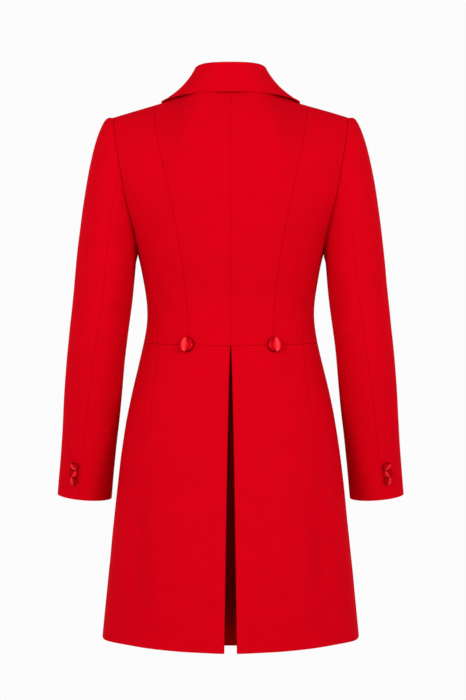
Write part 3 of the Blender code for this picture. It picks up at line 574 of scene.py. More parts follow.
def ridge_points(first_out, last_out, count, front=False):
    out = np.linspace(first_out, last_out, count + 1)
    height = ridge_height(out)
    return chart(angle_at(out, height, front), height)


def waist_points(first_angle, last_angle, count):
    angle = np.linspace(first_angle, last_angle, count + 1)
    return chart(angle, waist_height(angle))


def patch(left, right, bottom, top, rise=None):
    """Chart grid that fills four edges; rows go up, columns go from left to right."""
    run = np.linspace(0.0, 1.0, len(bottom))[None, :, None]
    rise = np.linspace(0.0, 1.0, len(left)) if rise is None else np.asarray(rise)
    rise = rise[:, None, None]
    sides = mix(left[:, None], right[:, None], run)
    ends = mix(bottom[None], top[None], rise)
    corners = mix(mix(left[0], right[0], run), mix(left[-1], right[-1], run), rise)
    return sides + ends - corners


def joined(first, second):
    return np.concatenate([first, second[1:]])


def back_neck():
    out = NECK_OUT * np.sin(np.linspace(0.0, np.pi / 2, NECK_COLUMNS + 1))
    height = mix(NAPE_HEIGHT, ridge_height(NECK_OUT), (out / NECK_OUT) ** 2)
    return chart(angle_at(out, height), height)


def front_neck():
    """Neckline of the front from the break up to the neck point, on the armhole's steps."""
    heights = armhole(turns(FRONT_SEAM_TURN, 360))[:, 1]
    share = (heights - heights[0]) / (heights[-1] - heights[0])
    height = mix(BREAK_HEIGHT, ridge_height(NECK_OUT), share)
    out = NECKLINE_OUT(height)
    out[-1] = NECK_OUT
    return chart(angle_at(out, height, True), height)


def front_seam():
    """Seam from the waist up to the front of the armhole."""
    top = armhole(FRONT_SEAM_TURN)
    share = np.linspace(0.0, 1.0, LOWER_ROWS + 1)
    angle = mix(math.radians(FRONT_SEAM_WAIST_ANGLE), top[0], share ** FRONT_SEAM_POWER)
    foot = waist_height(angle[0])
    return chart(angle, mix(foot, top[1], share))


def side_seam():
    corner = armhole(SIDE_SEAM_TURN)
    share = np.linspace(0.0, 1.0, LOWER_ROWS + 1)
    seam = rise_to(corner[1], share, SIDE_SEAM_OUT)
    seam[:, 0] += (corner[0] - seam[-1, 0]) * share ** 2
    return seam


def back_chart():
    rise = climb(SIDE_SEAM_TURN, 0)
    foot = waist_height(0.0)
    left = chart(0.0, foot + (NAPE_HEIGHT - foot) * rise)
    right = rise_to(ridge_height(PRINCESS_TOP_OUT), rise, PRINCESS_OUT)
    shoulder = ridge_points(NECK_OUT, PRINCESS_TOP_OUT, PRINCESS_COLUMNS)
    right[-1] = shoulder[-1]
    top = joined(back_neck(), shoulder)
    bottom = waist_points(0.0, right[0, 0], len(top) - 1)
    return patch(left, right, bottom, top, rise)


def side_back_chart():
    rise = climb(SIDE_SEAM_TURN, 0)
    left = back_chart()[:, -1]
    right = joined(side_seam(), armhole(turns(SIDE_SEAM_TURN, 0)))
    top = ridge_points(PRINCESS_TOP_OUT, SHOULDER_OUT, SIDE_BACK_COLUMNS)
    bottom = waist_points(left[0, 0], right[0, 0], SIDE_BACK_COLUMNS)
    return patch(left, right, bottom, top, rise)


def side_front_chart():
    top = armhole(turns(SIDE_SEAM_TURN, FRONT_SEAM_TURN))
    left = side_seam()
    right = front_seam()
    bottom = waist_points(left[0, 0], right[0, 0], len(top) - 1)
    return patch(left, right, bottom, top)


def front_chart():
    rise = climb(FRONT_SEAM_TURN, 360)
    left = joined(front_seam(), armhole(turns(FRONT_SEAM_TURN, 360)))
    edge = rise_to(BREAK_HEIGHT, np.linspace(0.0, 1.0, LOWER_ROWS + 1), FRONT_EDGE_OUT, True)
    neck = front_neck()
    edge[-1] = neck[0]
    right = joined(edge, neck)
    shoulder = joined(ridge_points(SHOULDER_OUT, PRINCESS_TOP_OUT, SIDE_BACK_COLUMNS, True),
                      ridge_points(PRINCESS_TOP_OUT, NECK_OUT, PRINCESS_COLUMNS, True))
    left[-1] = shoulder[0]
    right[-1] = shoulder[-1]
    bottom = waist_points(left[0, 0], right[0, 0], len(shoulder) - 1)
    return patch(left, right, bottom, shoulder, rise)


# Creases and the cloth's own unevenness

def pressed(points, path, width, height):
    """Height of a soft trough or ridge that runs along a path of points and fades at its ends."""
    start = path[:-1]
    way = path[1:] - start
    offset = points[..., None, :] - start
    share = np.clip(np.sum(offset * way, axis=-1) / np.sum(way * way, axis=-1), 0.0, 1.0)
    gap = np.linalg.norm(offset - share[..., None] * way, axis=-1)
    nearest = np.argmin(gap, axis=-1)[..., None]
    gap = np.take_along_axis(gap, nearest, axis=-1)[..., 0]
    progress = (nearest[..., 0] + np.take_along_axis(share, nearest, axis=-1)[..., 0]) / len(start)
    fade = ease(progress / CREASE_FADE) * ease((1.0 - progress) / CREASE_FADE)
    return height * fade * np.exp(-(gap / width) ** 2)


def body_path(crease, front):
    share = np.linspace(0.0, 1.0, BODY_CREASE_STATIONS)
    out = mix(crease.start[0], crease.finish[0], share)
    height = mix(crease.start[1], crease.finish[1], share)
    return form(angle_at(out, height, front), height)


def unevenness(points):
    """Slow rise and fall of cloth that is made up and pressed by hand."""
    x, y, z = np.moveaxis(points, -1, 0)
    slow = np.sin(41.0 * z + 23.0 * x + 0.7) + np.sin(67.0 * x - 29.0 * y + 11.0 * z)
    quick = np.sin(97.0 * z - 31.0 * x + 2.1) + np.sin(83.0 * y + 71.0 * x - 53.0 * z)
    return UNEVENNESS * (slow + 0.5 * quick) / 3.0


def across_lengths(points):
    """Length along each row of a grid, from its first column."""
    lengths = np.linalg.norm(np.diff(points, axis=1), axis=-1).cumsum(axis=1)
    return np.pad(lengths, ((0, 0), (1, 0)))


def along_lengths(points):
    """Length along each column of a grid, from its first row."""
    return across_lengths(np.swapaxes(points, 0, 1)).T


def pucker(points):
    """Slight gathers that the sewing thread draws into both sides of a panel."""
    across = across_lengths(points)
    near = np.minimum(across, across[:, -1:] - across)
    along = along_lengths(points)
    wave = np.sin(2.0 * np.pi * along / PUCKER_PITCH + 2.0 * np.sin(19.0 * along))
    return PUCKER * wave * np.exp(-(near / PUCKER_REACH) ** 2)


def body_height(points, side):
    """How far the cloth stands off the body's form at each point of the left half."""
    height = unevenness(on_side(points, side))
    for front, creases in ((False, BACK_CREASES), (True, FRONT_CREASES)):
        for crease in creases:
            if side in crease.sides:
                height = height + pressed(points, body_path(crease, front), crease.width, crease.height)
    return height


def overlap_lift(points):
    """How far the right front is raised to lie over the left one."""
    near = ease((OVERLAP_OUT - points[..., 0]) / OVERLAP_OUT_FADE)
    low = ease((OVERLAP_TOP - points[..., 2]) / OVERLAP_TOP_FADE)
    return OVERLAP_LIFT * near * low * (points[..., 1] < 0.0)


def body_faces(cells, side, thickness):
    """Outer and inner grids of a body panel on the left half."""
    angle, height = cells[..., 0], cells[..., 1]
    points = form(angle, height)
    normal = outward(angle, height)
    raised = body_height(points, side) + pucker(points)
    if side == "right":
        raised = raised + overlap_lift(points)
    outer = points + normal * raised[..., None]
    return Faces(outer, outer - normal * thickness, NO_LINE)


# Tails

def vent_out(share):
    return VENT_TOP + (VENT_HEM - VENT_TOP) * share ** VENT_POWER


def dart_out(height):
    slope = (DART_POINT.out - DART_WAIST.out) / (DART_POINT.height - DART_WAIST.height)
    return DART_WAIST.out + slope * (height - DART_WAIST.height)


def gathered_to(end, count):
    """Shares from 0 to 1 that stand closest together at one end."""
    even = np.linspace(0.0, 1.0, count + 1)
    return 1.0 - (1.0 - even) ** DART_GATHER if end == 1 else even ** DART_GATHER


def skirt_chart(thickness):
    """Tail from the vent fold round to the cutaway front edge; one column of the grid runs down the dart."""
    last = front_chart()[0, -1, 0]
    behind = gathered_to(1, SKIRT_BACK_COLUMNS)
    before = gathered_to(0, SKIRT_FRONT_COLUMNS)[1:]
    rows = []
    for drop in np.linspace(1.0, 0.0, SKIRT_ROWS + 1):
        level = mix(waist_height(0.0), HEM, drop)
        vent = angle_at(vent_out(drop) + PLEAT_FOLD + thickness / 2, level)
        dart = angle_at(dart_out(level), level)
        front = mix(math.radians(CUTAWAY_HEM_ANGLE), last, (1.0 - drop) ** CUTAWAY_POWER)
        angle = np.concatenate([mix(vent, dart, behind), mix(dart, front, before)])
        rows.append(chart(angle, 0.0))
    cells = np.stack(rows)
    drops = np.linspace(1.0, 0.0, SKIRT_ROWS + 1)[:, None]
    cells[..., 1] = mix(waist_height(cells[-1:, :, 0]), hem_height(cells[..., 0]), drops)
    return cells


def dart_height(points):
    """The sewn line of the dart below the waist, with the cloth a little hollow beside it."""
    height = np.linspace(DART_START, DART_POINT.height, DART_STATIONS)
    path = form(angle_at(dart_out(height), height), height)
    line = pressed(points, path, DART_WIDTH, -DART_DEPTH)
    return line + pressed(points, path, DART_HOLLOW_WIDTH, -DART_DEPTH / 2)


def pleat_return(fold, cell, drop, thickness):
    """One section of the pleat return, from its sewn end to the vent fold: both faces as rows of points."""
    angle, height = cell
    tangent = unit(form(angle + 1e-3, height) - form(angle, height))
    normal = outward(angle, height)
    bend = np.linspace(math.pi, 0.0, ROLL_STEPS + 1)
    bend_along = -PLEAT_FOLD * np.sin(bend)
    bend_depth = thickness / 2 + PLEAT_FOLD * (1.0 - np.cos(bend))
    steps = np.linspace(1.0, 0.0, RETURN_COLUMNS + 1)[:-1]
    far_along = steps * PLEAT_WIDTH
    far_depth = bend_depth[0] + steps * mix(PLEAT_DEPTH_TOP, PLEAT_DEPTH_HEM, drop)
    along = np.concatenate([far_along, bend_along])
    depth = np.concatenate([far_depth, bend_depth])
    middle = fold + along[:, None] * tangent - depth[:, None] * normal
    facing = unit(np.cross(np.array([0.0, 0.0, 1.0]), np.gradient(middle, axis=0)))[:-1]
    return middle[:-1] + facing * thickness / 2, middle[:-1] - facing * thickness / 2


def tail_faces(side, thickness):
    """Outer and inner grids of a tail on the left half; the first columns are the pleat return."""
    cells = skirt_chart(thickness)
    outer, inner, _ = body_faces(cells, side, thickness)
    sunk = outward(cells[..., 0], cells[..., 1]) * dart_height(form(cells[..., 0], cells[..., 1]))[..., None]
    outer, inner = outer + sunk, inner + sunk
    drops = np.linspace(1.0, 0.0, SKIRT_ROWS + 1)
    returns = [pleat_return(outer[row, 0], cells[row, 0], drop, thickness) for row, drop in enumerate(drops)]
    outer = np.concatenate([np.stack([faces for faces, _ in returns]), outer], axis=1)
    inner = np.concatenate([np.stack([backs for _, backs in returns]), inner], axis=1)
    across = across_lengths(outer)
    dart = across[:, -SKIRT_FRONT_COLUMNS - 1:-SKIRT_FRONT_COLUMNS]
    past_point = np.clip(DART_POINT.height - outer[..., 2], 0.0, None)
    # The line distance draws the painted seam shadow down the dart, fading past its point
    return Faces(outer, inner, np.abs(across - dart) + FAINT_LINE + DART_FADE * past_point)


def underlay_faces(thickness):
    """Strip across the back of the pleat, seated on the ends of the returns and let into the waist seam."""
    sewn = tail_faces("left", thickness).outer[:, 0]
    rows = np.linspace(UNDERLAY_HEM, sewn[-1, 2] + UNDERLAY_TOP, SKIRT_ROWS + 1)
    half, depth = (np.interp(rows, sewn[:, 2], sewn[:, axis])[:, None] for axis in (0, 1))
    across = np.linspace(-1.0, 1.0, UNDERLAY_COLUMNS + 1)
    bow = UNDERLAY_BOW * (1.0 - across ** 2)
    outer = np.stack([across * half, depth + bow, rows[:, None] + 0.0 * across], axis=-1)
    outer[..., 1] += unevenness(outer) - SEAM_GAP
    return Faces(outer, outer - np.array([0.0, thickness, 0.0]), NO_LINE)


# Sleeves

def ring(turn, share):
    """Sleeve below the cap: share 0 is the upper arm, 1 the cuff edge; turn in degrees."""
    level = mix(SLEEVE[0].height, SLEEVE[-1].height, share)
    turn = np.radians(turn - SLEEVE_TWIST * ease(share))
    sideways = RING_HALF_WIDTH(level) * np.cos(turn)
    backward = RING_HALF_DEPTH(level) * np.sin(turn)
    z = level + share * (CUFF_RISE_OUT * sideways - CUFF_RISE_FORE * backward)
    return np.stack([RING_OUT(level) + sideways, RING_FORE(level) + backward, z], axis=-1)


def sleeve(turn, along):
    """Outer face of the sleeve: along 0 is the armhole, 1 the upper arm, 2 the cuff edge."""
    turn, along = np.broadcast_arrays(np.asarray(turn, float), np.asarray(along, float))
    edge = armhole(np.mod(turn, 360.0))
    start = form(edge[..., 0], edge[..., 1]) + np.array([SEAM_GAP, 0.0, 0.0])
    stop = ring(turn, 0.0 * turn)
    reach = np.linalg.norm(stop - start, axis=-1, keepdims=True)
    cosine, sine = np.cos(np.radians(turn)), np.sin(np.radians(turn))
    away = np.stack([CAP_OUT[0] + CAP_OUT[1] * cosine, CAP_TURN * sine, CAP_DROP[0] + CAP_DROP[1] * cosine],
                    axis=-1)
    down = unit(ring(turn, 0.02 + 0.0 * turn) - stop)
    t = np.clip(along, 0.0, 1.0)[..., None]
    cap = ((1.0 + 2.0 * t) * (1.0 - t) ** 2 * start + t * (1.0 - t) ** 2 * unit(away) * reach * CAP_FULLNESS
           + t * t * (3.0 - 2.0 * t) * stop + t * t * (t - 1.0) * down * reach)
    lower = ring(turn, np.clip(along - 1.0, 0.0, 1.0))
    return np.where((along < 1.0)[..., None], cap, lower)


def sleeve_outward(turn, along):
    turn, along = np.broadcast_arrays(np.asarray(turn, float), np.asarray(along, float))
    round_way = sleeve(turn + 0.5, along) - sleeve(turn - 0.5, along)
    first = np.clip(along - 0.01, 0.0, 2.0)
    last = np.clip(along + 0.01, 0.0, 2.0)
    return unit(np.cross(sleeve(turn, last) - sleeve(turn, first), round_way))


def sleeve_height(points, turn, along, side):
    """How far the cloth stands off the sleeve's form: a roll at its head, and a tuck under the arm."""
    upper = np.clip(np.cos(np.radians(turn)), 0.0, None) ** HEAD_ROLL_POWER
    under = np.clip(np.sin(np.radians(turn - TUCK_TURN)), 0.0, None)
    height = HEAD_ROLL * upper * np.exp(-((along - HEAD_ROLL_AT) / HEAD_ROLL_SPREAD) ** 2)
    height = height - TUCK * under * np.exp(-(along / TUCK_REACH) ** 2)
    height = height + unevenness(on_side(points, side)) * ease(along / SEWN_FLAT)
    share = np.linspace(0.0, 1.0, SLEEVE_CREASE_STATIONS)
    for crease in SLEEVE_CREASES:
        if side in crease.sides:
            path = sleeve(mix(crease.start[0], crease.finish[0], share),
                          mix(crease.start[1], crease.finish[1], share))
            height = height + pressed(points, path, crease.width, crease.height)
    return height


def sleeve_allowance(turn, thickness):
    """Two rows of points that turn in behind the body's edge and lie under it, with its outward way there."""
    edge = armhole(np.mod(turn, 360.0))
    point, normal = form(edge[..., 0], edge[..., 1]), outward(edge[..., 0], edge[..., 1])
    hole = armhole(np.arange(0.0, 360.0, 10.0))
    middle = form(hole[..., 0], hole[..., 1]).mean(axis=0)
    way = unit(np.cross(np.gradient(point, axis=0), normal))
    way = way * np.sign(np.sum(way * (point - middle), axis=-1))[:, None]
    behind = point - normal * (thickness + SEAM_GAP)
    return np.stack([behind + way * ALLOWANCE, behind]), np.stack([normal, normal])


def sleeve_faces(first_turn, last_turn, side, thickness):
    """Outer and inner grids of a sleeve piece on the left half, rows from the armhole to the cuff.

    A seam allowance turns in behind the body, and the back seam leans to the shoulder at the armhole.
    """
    along = np.concatenate([np.linspace(0.0, 1.0, CAP_ROWS + 1), np.linspace(1.0, 2.0, ARM_ROWS + 1)[1:]])
    turn, along = np.meshgrid(turns(first_turn, last_turn), along)
    near_seam = np.exp(-((turn - SLEEVE_BACK_TURN) / BACK_SEAM_SPREAD) ** 2)
    turn = turn - BACK_SEAM_LEAN * near_seam * (1.0 - ease(along))
    points = sleeve(turn, along)
    normal = sleeve_outward(turn, along)
    raised = sleeve_height(points, turn, along, side) + pucker(points)
    outer = points + normal * raised[..., None]
    inner = outer - normal * thickness
    turned_in, behind = sleeve_allowance(turn[0], thickness)
    outer = np.concatenate([turned_in, outer])
    inner = np.concatenate([turned_in - behind * thickness, inner])
    along = along_lengths(outer)
    # The line distance draws the painted seam shadow along the armhole, where the sleeve passes under the
    # body
    return Faces(outer, inner, np.abs(along - along[len(turned_in):len(turned_in) + 1]))


# Collar and lapels

def grid_normals(middle):
    """Unit normals of a grid of middle points."""
    return unit(np.cross(np.gradient(middle, axis=1), np.gradient(middle, axis=0)))


def front_points(out, height, lift, side="left"):
    """Points over the front, given as seen from in front."""
    angle = angle_at(out, height, True)
    points = form(angle, height)
    lift = np.asarray(lift) + (overlap_lift(points) if side == "right" else 0.0)
    return points + outward(angle, height) * lift[..., None]


def collar_neck():
    """Neck seam from the centre back to the gorge, with its level outward way."""
    front = front_neck()[::-1]
    count = round((360 - GORGE_TURN) / ARM_STEP)
    cells = joined(back_neck(), front[:count + 1])
    points = form(cells[:, 0], cells[:, 1])
    level = outward(cells[:, 0], cells[:, 1]) * np.array([1.0, 1.0, 0.0])
    return points, level


def collar_edge(count, clear):
    """Edge of the fall over the back, then over the front, at the collar's stations."""
    points = np.zeros((count, 3))
    back = NECK_COLUMNS + 1
    out = COLLAR_EDGE_OUT * np.sin(np.linspace(0.0, np.pi / 2, back))
    height = mix(COLLAR_EDGE_NAPE, ridge_height(COLLAR_EDGE_OUT), (out / COLLAR_EDGE_OUT) ** 2)
    angle = angle_at(out, height)
    points[:back] = form(angle, height) + outward(angle, height) * clear[:back, None]
    way = np.linspace(0.0, 1.0, count - NECK_COLUMNS)[1:]
    stations = np.linspace(0.0, 1.0, len(COLLAR_FRONT_EDGE))
    out = spline(stations, column(COLLAR_FRONT_EDGE, "out"))(way)
    height = spline(stations, column(COLLAR_FRONT_EDGE, "height"))(way)
    points[back:] = front_points(out, height, clear[back:])
    return points


def gorge_line(steps, start, foot):
    """Front view of the collar end: along the gorge to the notch, then out to the collar's corner."""
    corner = COLLAR_FRONT_EDGE[-1]
    notch_out = mix(foot[0], LAPEL_POINT.out, GORGE_SHARE)
    notch_height = mix(foot[2], LAPEL_POINT.height, GORGE_SHARE) + GORGE_GAP
    near_out = mix(foot[0], LAPEL_POINT.out, GORGE_NEAR)
    near_height = mix(foot[2], LAPEL_POINT.height, GORGE_NEAR) + GORGE_GAP
    out = np.interp(steps, GORGE_MARKS, [start[0], near_out, notch_out, corner.out])
    height = np.interp(steps, GORGE_MARKS, [start[2], near_height, notch_height, corner.height])
    return out, height


def turned_edge(middle, normal, inset, thickness):
    """Faces of a piece whose free edge is rolled, with a soft trough beside it; inset is from the edge."""
    sunk = EDGE_ROLL_DEPTH * np.exp(-((inset - EDGE_ROLL_INSET) / EDGE_ROLL_WIDTH) ** 2)
    outer = middle + normal * (thickness / 2 - sunk)[..., None]
    return Faces(outer, middle - normal * thickness / 2, NO_LINE)


def softened(middle):
    """Collar grid with its turn round the back of the neck eased, most at the centre back."""
    place = np.abs(np.arange(middle.shape[1]) - middle.shape[1] // 2)
    share = COLLAR_EASE * ease((NECK_COLUMNS - COLLAR_EASE_END - place) / COLLAR_EASE_FADE)[None, :, None]
    for _ in range(COLLAR_PASSES):
        ahead, behind = np.roll(middle, -1, axis=1), np.roll(middle, 1, axis=1)
        middle = middle + share * (ahead + behind - 2.0 * middle)
    return middle


def collar_faces(thickness):
    """Outer and inner grids of the collar from gorge to gorge: stand, roll and fall."""
    neck, level = collar_neck()
    count = len(neck)
    share = np.linspace(0.0, 1.0, count)
    stand, lean, belly, clear = (through(COLLAR, "share", name)(share)
                                 for name in ("stand", "lean", "belly", "clear"))
    axis_way = unit(neck * np.array([1.0, 1.0, 0.0]))
    up = np.array([0.0, 0.0, 1.0])
    foot = neck - level * thickness / 2 + up * COLLAR_SEAT
    crest = neck + up * stand[:, None] + axis_way * lean[:, None]
    edge = collar_edge(count, clear)
    steps = np.concatenate([np.linspace(0.0, 0.88, FALL_ROWS), np.linspace(0.90, 1.0, EDGE_ROWS + 1)])
    bend = np.linspace(math.pi, 0.0, ROLL_STEPS + 1)[1:, None]
    rise = np.linspace(0.0, 1.0, STAND_ROWS + 1)[:, None]
    r = steps[1:, None]
    columns = []
    for i in range(count):
        wall = mix(foot[i], crest[i] - axis_way[i] * COLLAR_ROLL, rise)
        roll = crest[i] + COLLAR_ROLL * (axis_way[i] * np.cos(bend) + up * np.sin(bend))
        start = roll[-1]
        ahead = neck[min(i + 1, count - 1)] - neck[max(i - 1, 0)]
        proud = unit(np.cross(ahead, edge[i] - start))
        pull = (start + edge[i]) / 2 + proud * 2.0 * belly[i]
        fall = (1.0 - r) ** 2 * start + 2.0 * r * (1.0 - r) * pull + r * r * edge[i]
        follow = ease((i - NECK_COLUMNS) / (count - 1 - NECK_COLUMNS))
        if follow > 0.0:
            out, height = gorge_line(steps[1:], start, neck[-1])
            lift = mix(2.0 * COLLAR_ROLL, clear[i], ease(steps[1:]))
            lying = front_points(out, height, lift)
            fall = mix(fall, lying + r * (edge[i] - lying[-1]), follow)
        columns.append(np.concatenate([wall, roll, fall]))
    half = np.stack(columns, axis=1)
    middle = softened(np.concatenate([mirrored(half[:, :0:-1]), half], axis=1))
    along = along_lengths(middle)
    return turned_edge(middle, grid_normals(middle), along[-1:] - along, thickness)


def lapel_faces(side, thickness):
    """Outer and inner grids of a lapel on the left half, rows from the break up to the gorge."""
    neck = front_neck()[:round((GORGE_TURN - FRONT_SEAM_TURN) / ARM_STEP) + 1]
    height = neck[:, 1]
    out = NECKLINE_OUT(height)
    share = np.linspace(0.0, 1.0, len(height))
    edge_out = ((1.0 - share) ** 2 * LAPEL_FOOT.out + 2.0 * share * (1.0 - share) * LAPEL_BOW.out
                + share ** 2 * LAPEL_POINT.out)
    edge_height = ((1.0 - share) ** 2 * LAPEL_FOOT.height + 2.0 * share * (1.0 - share) * LAPEL_BOW.height
                   + share ** 2 * LAPEL_POINT.height)
    steps = np.concatenate([np.linspace(0.0, 0.80, LAPEL_COLUMNS), np.linspace(0.83, 1.0, EDGE_ROWS + 1)])[1:]
    bend = np.linspace(0.0, math.pi, ROLL_STEPS + 1)
    rows = []
    for i in range(len(height)):
        width = math.hypot(edge_out[i] - out[i], edge_height[i] - height[i])
        way = np.array([edge_out[i] - out[i], edge_height[i] - height[i]]) / width
        fold = mix(LAPEL_ROLL_FOOT, LAPEL_ROLL_TOP, share[i])
        along = np.concatenate([-SEAM_GAP - fold * np.sin(bend), width * steps])
        crown = 2.0 * fold - thickness / 2
        lift = np.concatenate([-thickness / 2 + fold * (1.0 - np.cos(bend)),
                               mix(crown, LAPEL_CLEAR, ease(steps))])
        rows.append(front_points(out[i] + way[0] * along, height[i] + way[1] * along, lift, side))
    middle = np.stack(rows)
    normal = -grid_normals(middle)
    normal[:, 0] = outward(neck[:, 0], height)
    across = across_lengths(middle)
    return turned_edge(middle, normal, across[:, -1:] - across, thickness)


# Finishes

class Wire:
    """One output of a shader node. Sums on it add Math nodes."""

    def __init__(self, nodes, socket):
        self.nodes = nodes
        self.socket = socket

    def __add__(self, other):
        return self.nodes.maths("ADD", self, other)

    __radd__ = __add__

    def __sub__(self, other):
        return self.nodes.maths("SUBTRACT", self, other)

    def __rsub__(self, other):
        return self.nodes.maths("SUBTRACT", other, self)

    def __mul__(self, other):
        return self.nodes.maths("MULTIPLY", self, other)

    __rmul__ = __mul__

    def sine(self):
        return self.nodes.maths("SINE", self)


class Nodes:
    """A tree of shader nodes, added to node by node."""

    def __init__(self, tree):
        self.tree = tree

    def node(self, kind, settings, inputs, output=0):
        """Add a node, set it up, feed its sockets and give one of its outputs."""
        made = self.tree.nodes.new(kind)
        for name, value in settings.items():
            if name == "stops":
                for stop, (place, tone) in zip(made.color_ramp.elements, value):
                    stop.position = place
                    stop.color = (tone, tone, tone, 1.0)
            else:
                setattr(made, name, value)
        for name, value in inputs.items():
            self.feed(made.inputs[name], value)
        return Wire(self, made.outputs[output])

    def feed(self, socket, value):
        if isinstance(value, Wire):
            self.tree.links.new(value.socket, socket)
        else:
            socket.default_value = value

    def maths(self, operation, *values):
        return self.node("ShaderNodeMath", {"operation": operation}, dict(enumerate(values)))

    def part(self, vector, axis):
        """One of the three numbers of a vector."""
        return self.node("ShaderNodeSeparateXYZ", {}, {"Vector": vector}, axis)

    def uv(self, name):
        return self.node("ShaderNodeUVMap", {"uv_map": name}, {})

    def fade(self, value, first, last, start=1.0, finish=0.0):
        """Number that eases from its start to its finish while a value goes from the first to the last."""
        ends = {"From Min": first, "From Max": last, "To Min": start, "To Max": finish}
        return self.node("ShaderNodeMapRange", {"interpolation_type": "SMOOTHSTEP"}, {"Value": value, **ends})


class Finish(Nodes):
    """A material put together from nodes around its Principled shader."""

    def __init__(self, name):
        self.material = bpy.data.materials.new(name)
        self.material.use_nodes = True
        super().__init__(self.material.node_tree)
        self.shader = self.tree.nodes["Principled BSDF"]

    def blend(self, share, first, second):
        """Colour between two colours."""
        return self.node("ShaderNodeMix", {"data_type": "RGBA"}, {0: share, 6: first, 7: second}, 2)

    def noise(self, place, size, detail):
        """Cloudy pattern about 0 with blotches of a size in metres."""
        spots = {"Vector": place, "Scale": 1.0 / size, "Detail": detail}
        return self.node("ShaderNodeTexNoise", {}, spots) - 0.5

    def bump(self, strength, distance, height):
        relief = {"Strength": strength, "Distance": distance, "Height": height}
        return self.node("ShaderNodeBump", {}, relief)

    def surface(self, colour, inputs):
        """Feed the shader's sockets, and show the plain colour in the editor's own views."""
        for name, value in inputs.items():
            self.feed(self.shader.inputs[name], value)
        self.material.diffuse_color = (*colour, 1.0)
        return self.material


def shade(colour, share):
    return (colour[0] * share, colour[1] * share, colour[2] * share, 1.0)


def wool_finish(name, colour, cloth, hem_light_gain=0.0):
    """Fulled twill: fine slanting ribs under a short nap, a little cloudy, with painted shade in the line of
    a seam.

    A gain paints light into it towards the hem of the tails, for the light that comes in from below.
    """
    made = Finish(name)
    flat, lines = made.uv("grain"), made.uv("seams")
    place = made.node("ShaderNodeTexCoord", {}, {}, "Object")
    across, along = made.part(flat, "X"), made.part(flat, "Y")
    # Painted shade: the colour darkens towards each seam, for the shadow that falls along it
    seam = made.fade(made.part(lines, "X"), 0.0, SEAM_LINE, SEAM_SHADE)
    slub = made.noise(place, SLUB_SIZE, 2.0)
    ribs = ((across + along * RIB_SLANT + slub * 0.0006) * (2.0 * math.pi / cloth.rib_pitch)).sine()
    yarns = (along * (2.0 * math.pi / (YARN_PITCH * cloth.rib_pitch)) + slub * 3.0).sine()
    nap = made.noise(place, NAP_SIZE, 3.0)
    cloud = made.noise(place, CLOUD_SIZE, 3.0)
    tone = 0.5 + nap * 0.75 + cloud * 0.55 + ribs * 0.10 + yarns * 0.04
    relief = ribs * 0.30 + yarns * 0.12 + nap * 1.2
    woven = made.blend(tone, shade(colour, 1.0 - WOOL_CONTRAST), shade(colour, 1.0 + WOOL_CONTRAST))
    # Painted light: paler towards the hem, where light comes in from below
    if hem_light_gain:
        painted_hem_light = made.fade(made.part(place, "Z"), PAINTED_LIGHT_FROM, PAINTED_LIGHT_TO, 0.0, 1.0)
        woven = made.blend(painted_hem_light, woven, shade(colour, hem_light_gain))
    return made.surface(colour, {
        "Base Color": made.blend(seam, woven, shade(colour, 0.08)),
        "Roughness": 0.86 + nap * 0.12 + cloud * 0.05,
        "Normal": made.bump(cloth.nap_strength, NAP_RELIEF, relief),
        "Specular IOR Level": 0.01,
        "Sheen Weight": 0.04,
        "Sheen Roughness": 0.40,
        "Sheen Tint": (1.0, 0.02, 0.06, 1.0),
    })


def satin_finish(name, colour, sheen):
    """Satin drawn over a mould, with a painted sheen band along its swell, and painted shade in its fold and
    under its edge.
    """
    made = Finish(name)
    lines = made.uv("seams")
    place = made.node("ShaderNodeTexCoord", {}, {}, "Object")
    # Painted shade: darker in the fold and under the edge beyond it
    fold = made.fade(made.part(lines, "X"), 0.0, SATIN_LINE, SATIN_SHADE)
    # Painted highlight: a lighter band along the crest of the swell, for the satin's sheen
    from_crest = made.maths("ABSOLUTE", made.part(lines, "Y") + COVER_SHIFT)
    swell = made.fade(from_crest, 0.0, PAINTED_SHEEN_WIDTH)
    drift = made.noise(place, DRIFT_SIZE, 2.0)
    floats = (made.part(made.uv("grain"), "X") * (2.0 * math.pi / FLOAT_PITCH) + drift * 4.0).sine()
    satin = made.blend(swell + drift * 0.4 + floats * 0.04, shade(colour, 1.0), shade(sheen, 1.0))
    return made.surface(colour, {
        "Base Color": made.blend(fold, satin, shade(colour, 0.05)),
        "Roughness": 0.26 + drift * 0.06,
        "Normal": made.bump(0.02, FLOAT_RELIEF, floats),
        "Metallic": 0.35,
        "Specular IOR Level": 0.0,
        "Specular Tint": (1.0, 0.20, 0.20, 1.0),
    })


def finish_named(name, make, *values):
    return bpy.data.materials.get(name) or make(name, *values)


def red_wool(cloth):
    return finish_named("red_wool", wool_finish, cloth.wool_colour, cloth)


# Making pieces

def grain_map(points):
    """Flat place of each point of a grid in metres, measured along its rows and its middle column."""
    across = across_lengths(points)
    middle = points.shape[1] // 2
    along = along_lengths(points)[:, middle:middle + 1] + 0.0 * across
    return np.stack([across - across[:, middle:middle + 1], along], axis=-1)


def seam_distance(points, edges):
    """Distance of each point of a grid from the nearest of its sewn edges."""
    across = across_lengths(points)
    along = along_lengths(points)
    gaps = {"left": across, "right": across[:, -1:] - across, "bottom": along, "top": along[-1:] - along}
    return np.min([gaps[edge] for edge in edges.split()], axis=0)


def add_piece(name, bm, material, node):
    """Make an object of a finished bmesh, and have it stand for a solid of the coat."""
    for face in bm.faces:
        face.smooth = True
    mesh = bpy.data.meshes.new(name)
    bm.to_mesh(mesh)
    bm.free()
    mesh.materials.append(material)
    piece = bpy.data.objects.new(name, mesh)
    bpy.context.scene.collection.objects.link(piece)
    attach(piece, "root")
    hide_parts(node)
    return piece


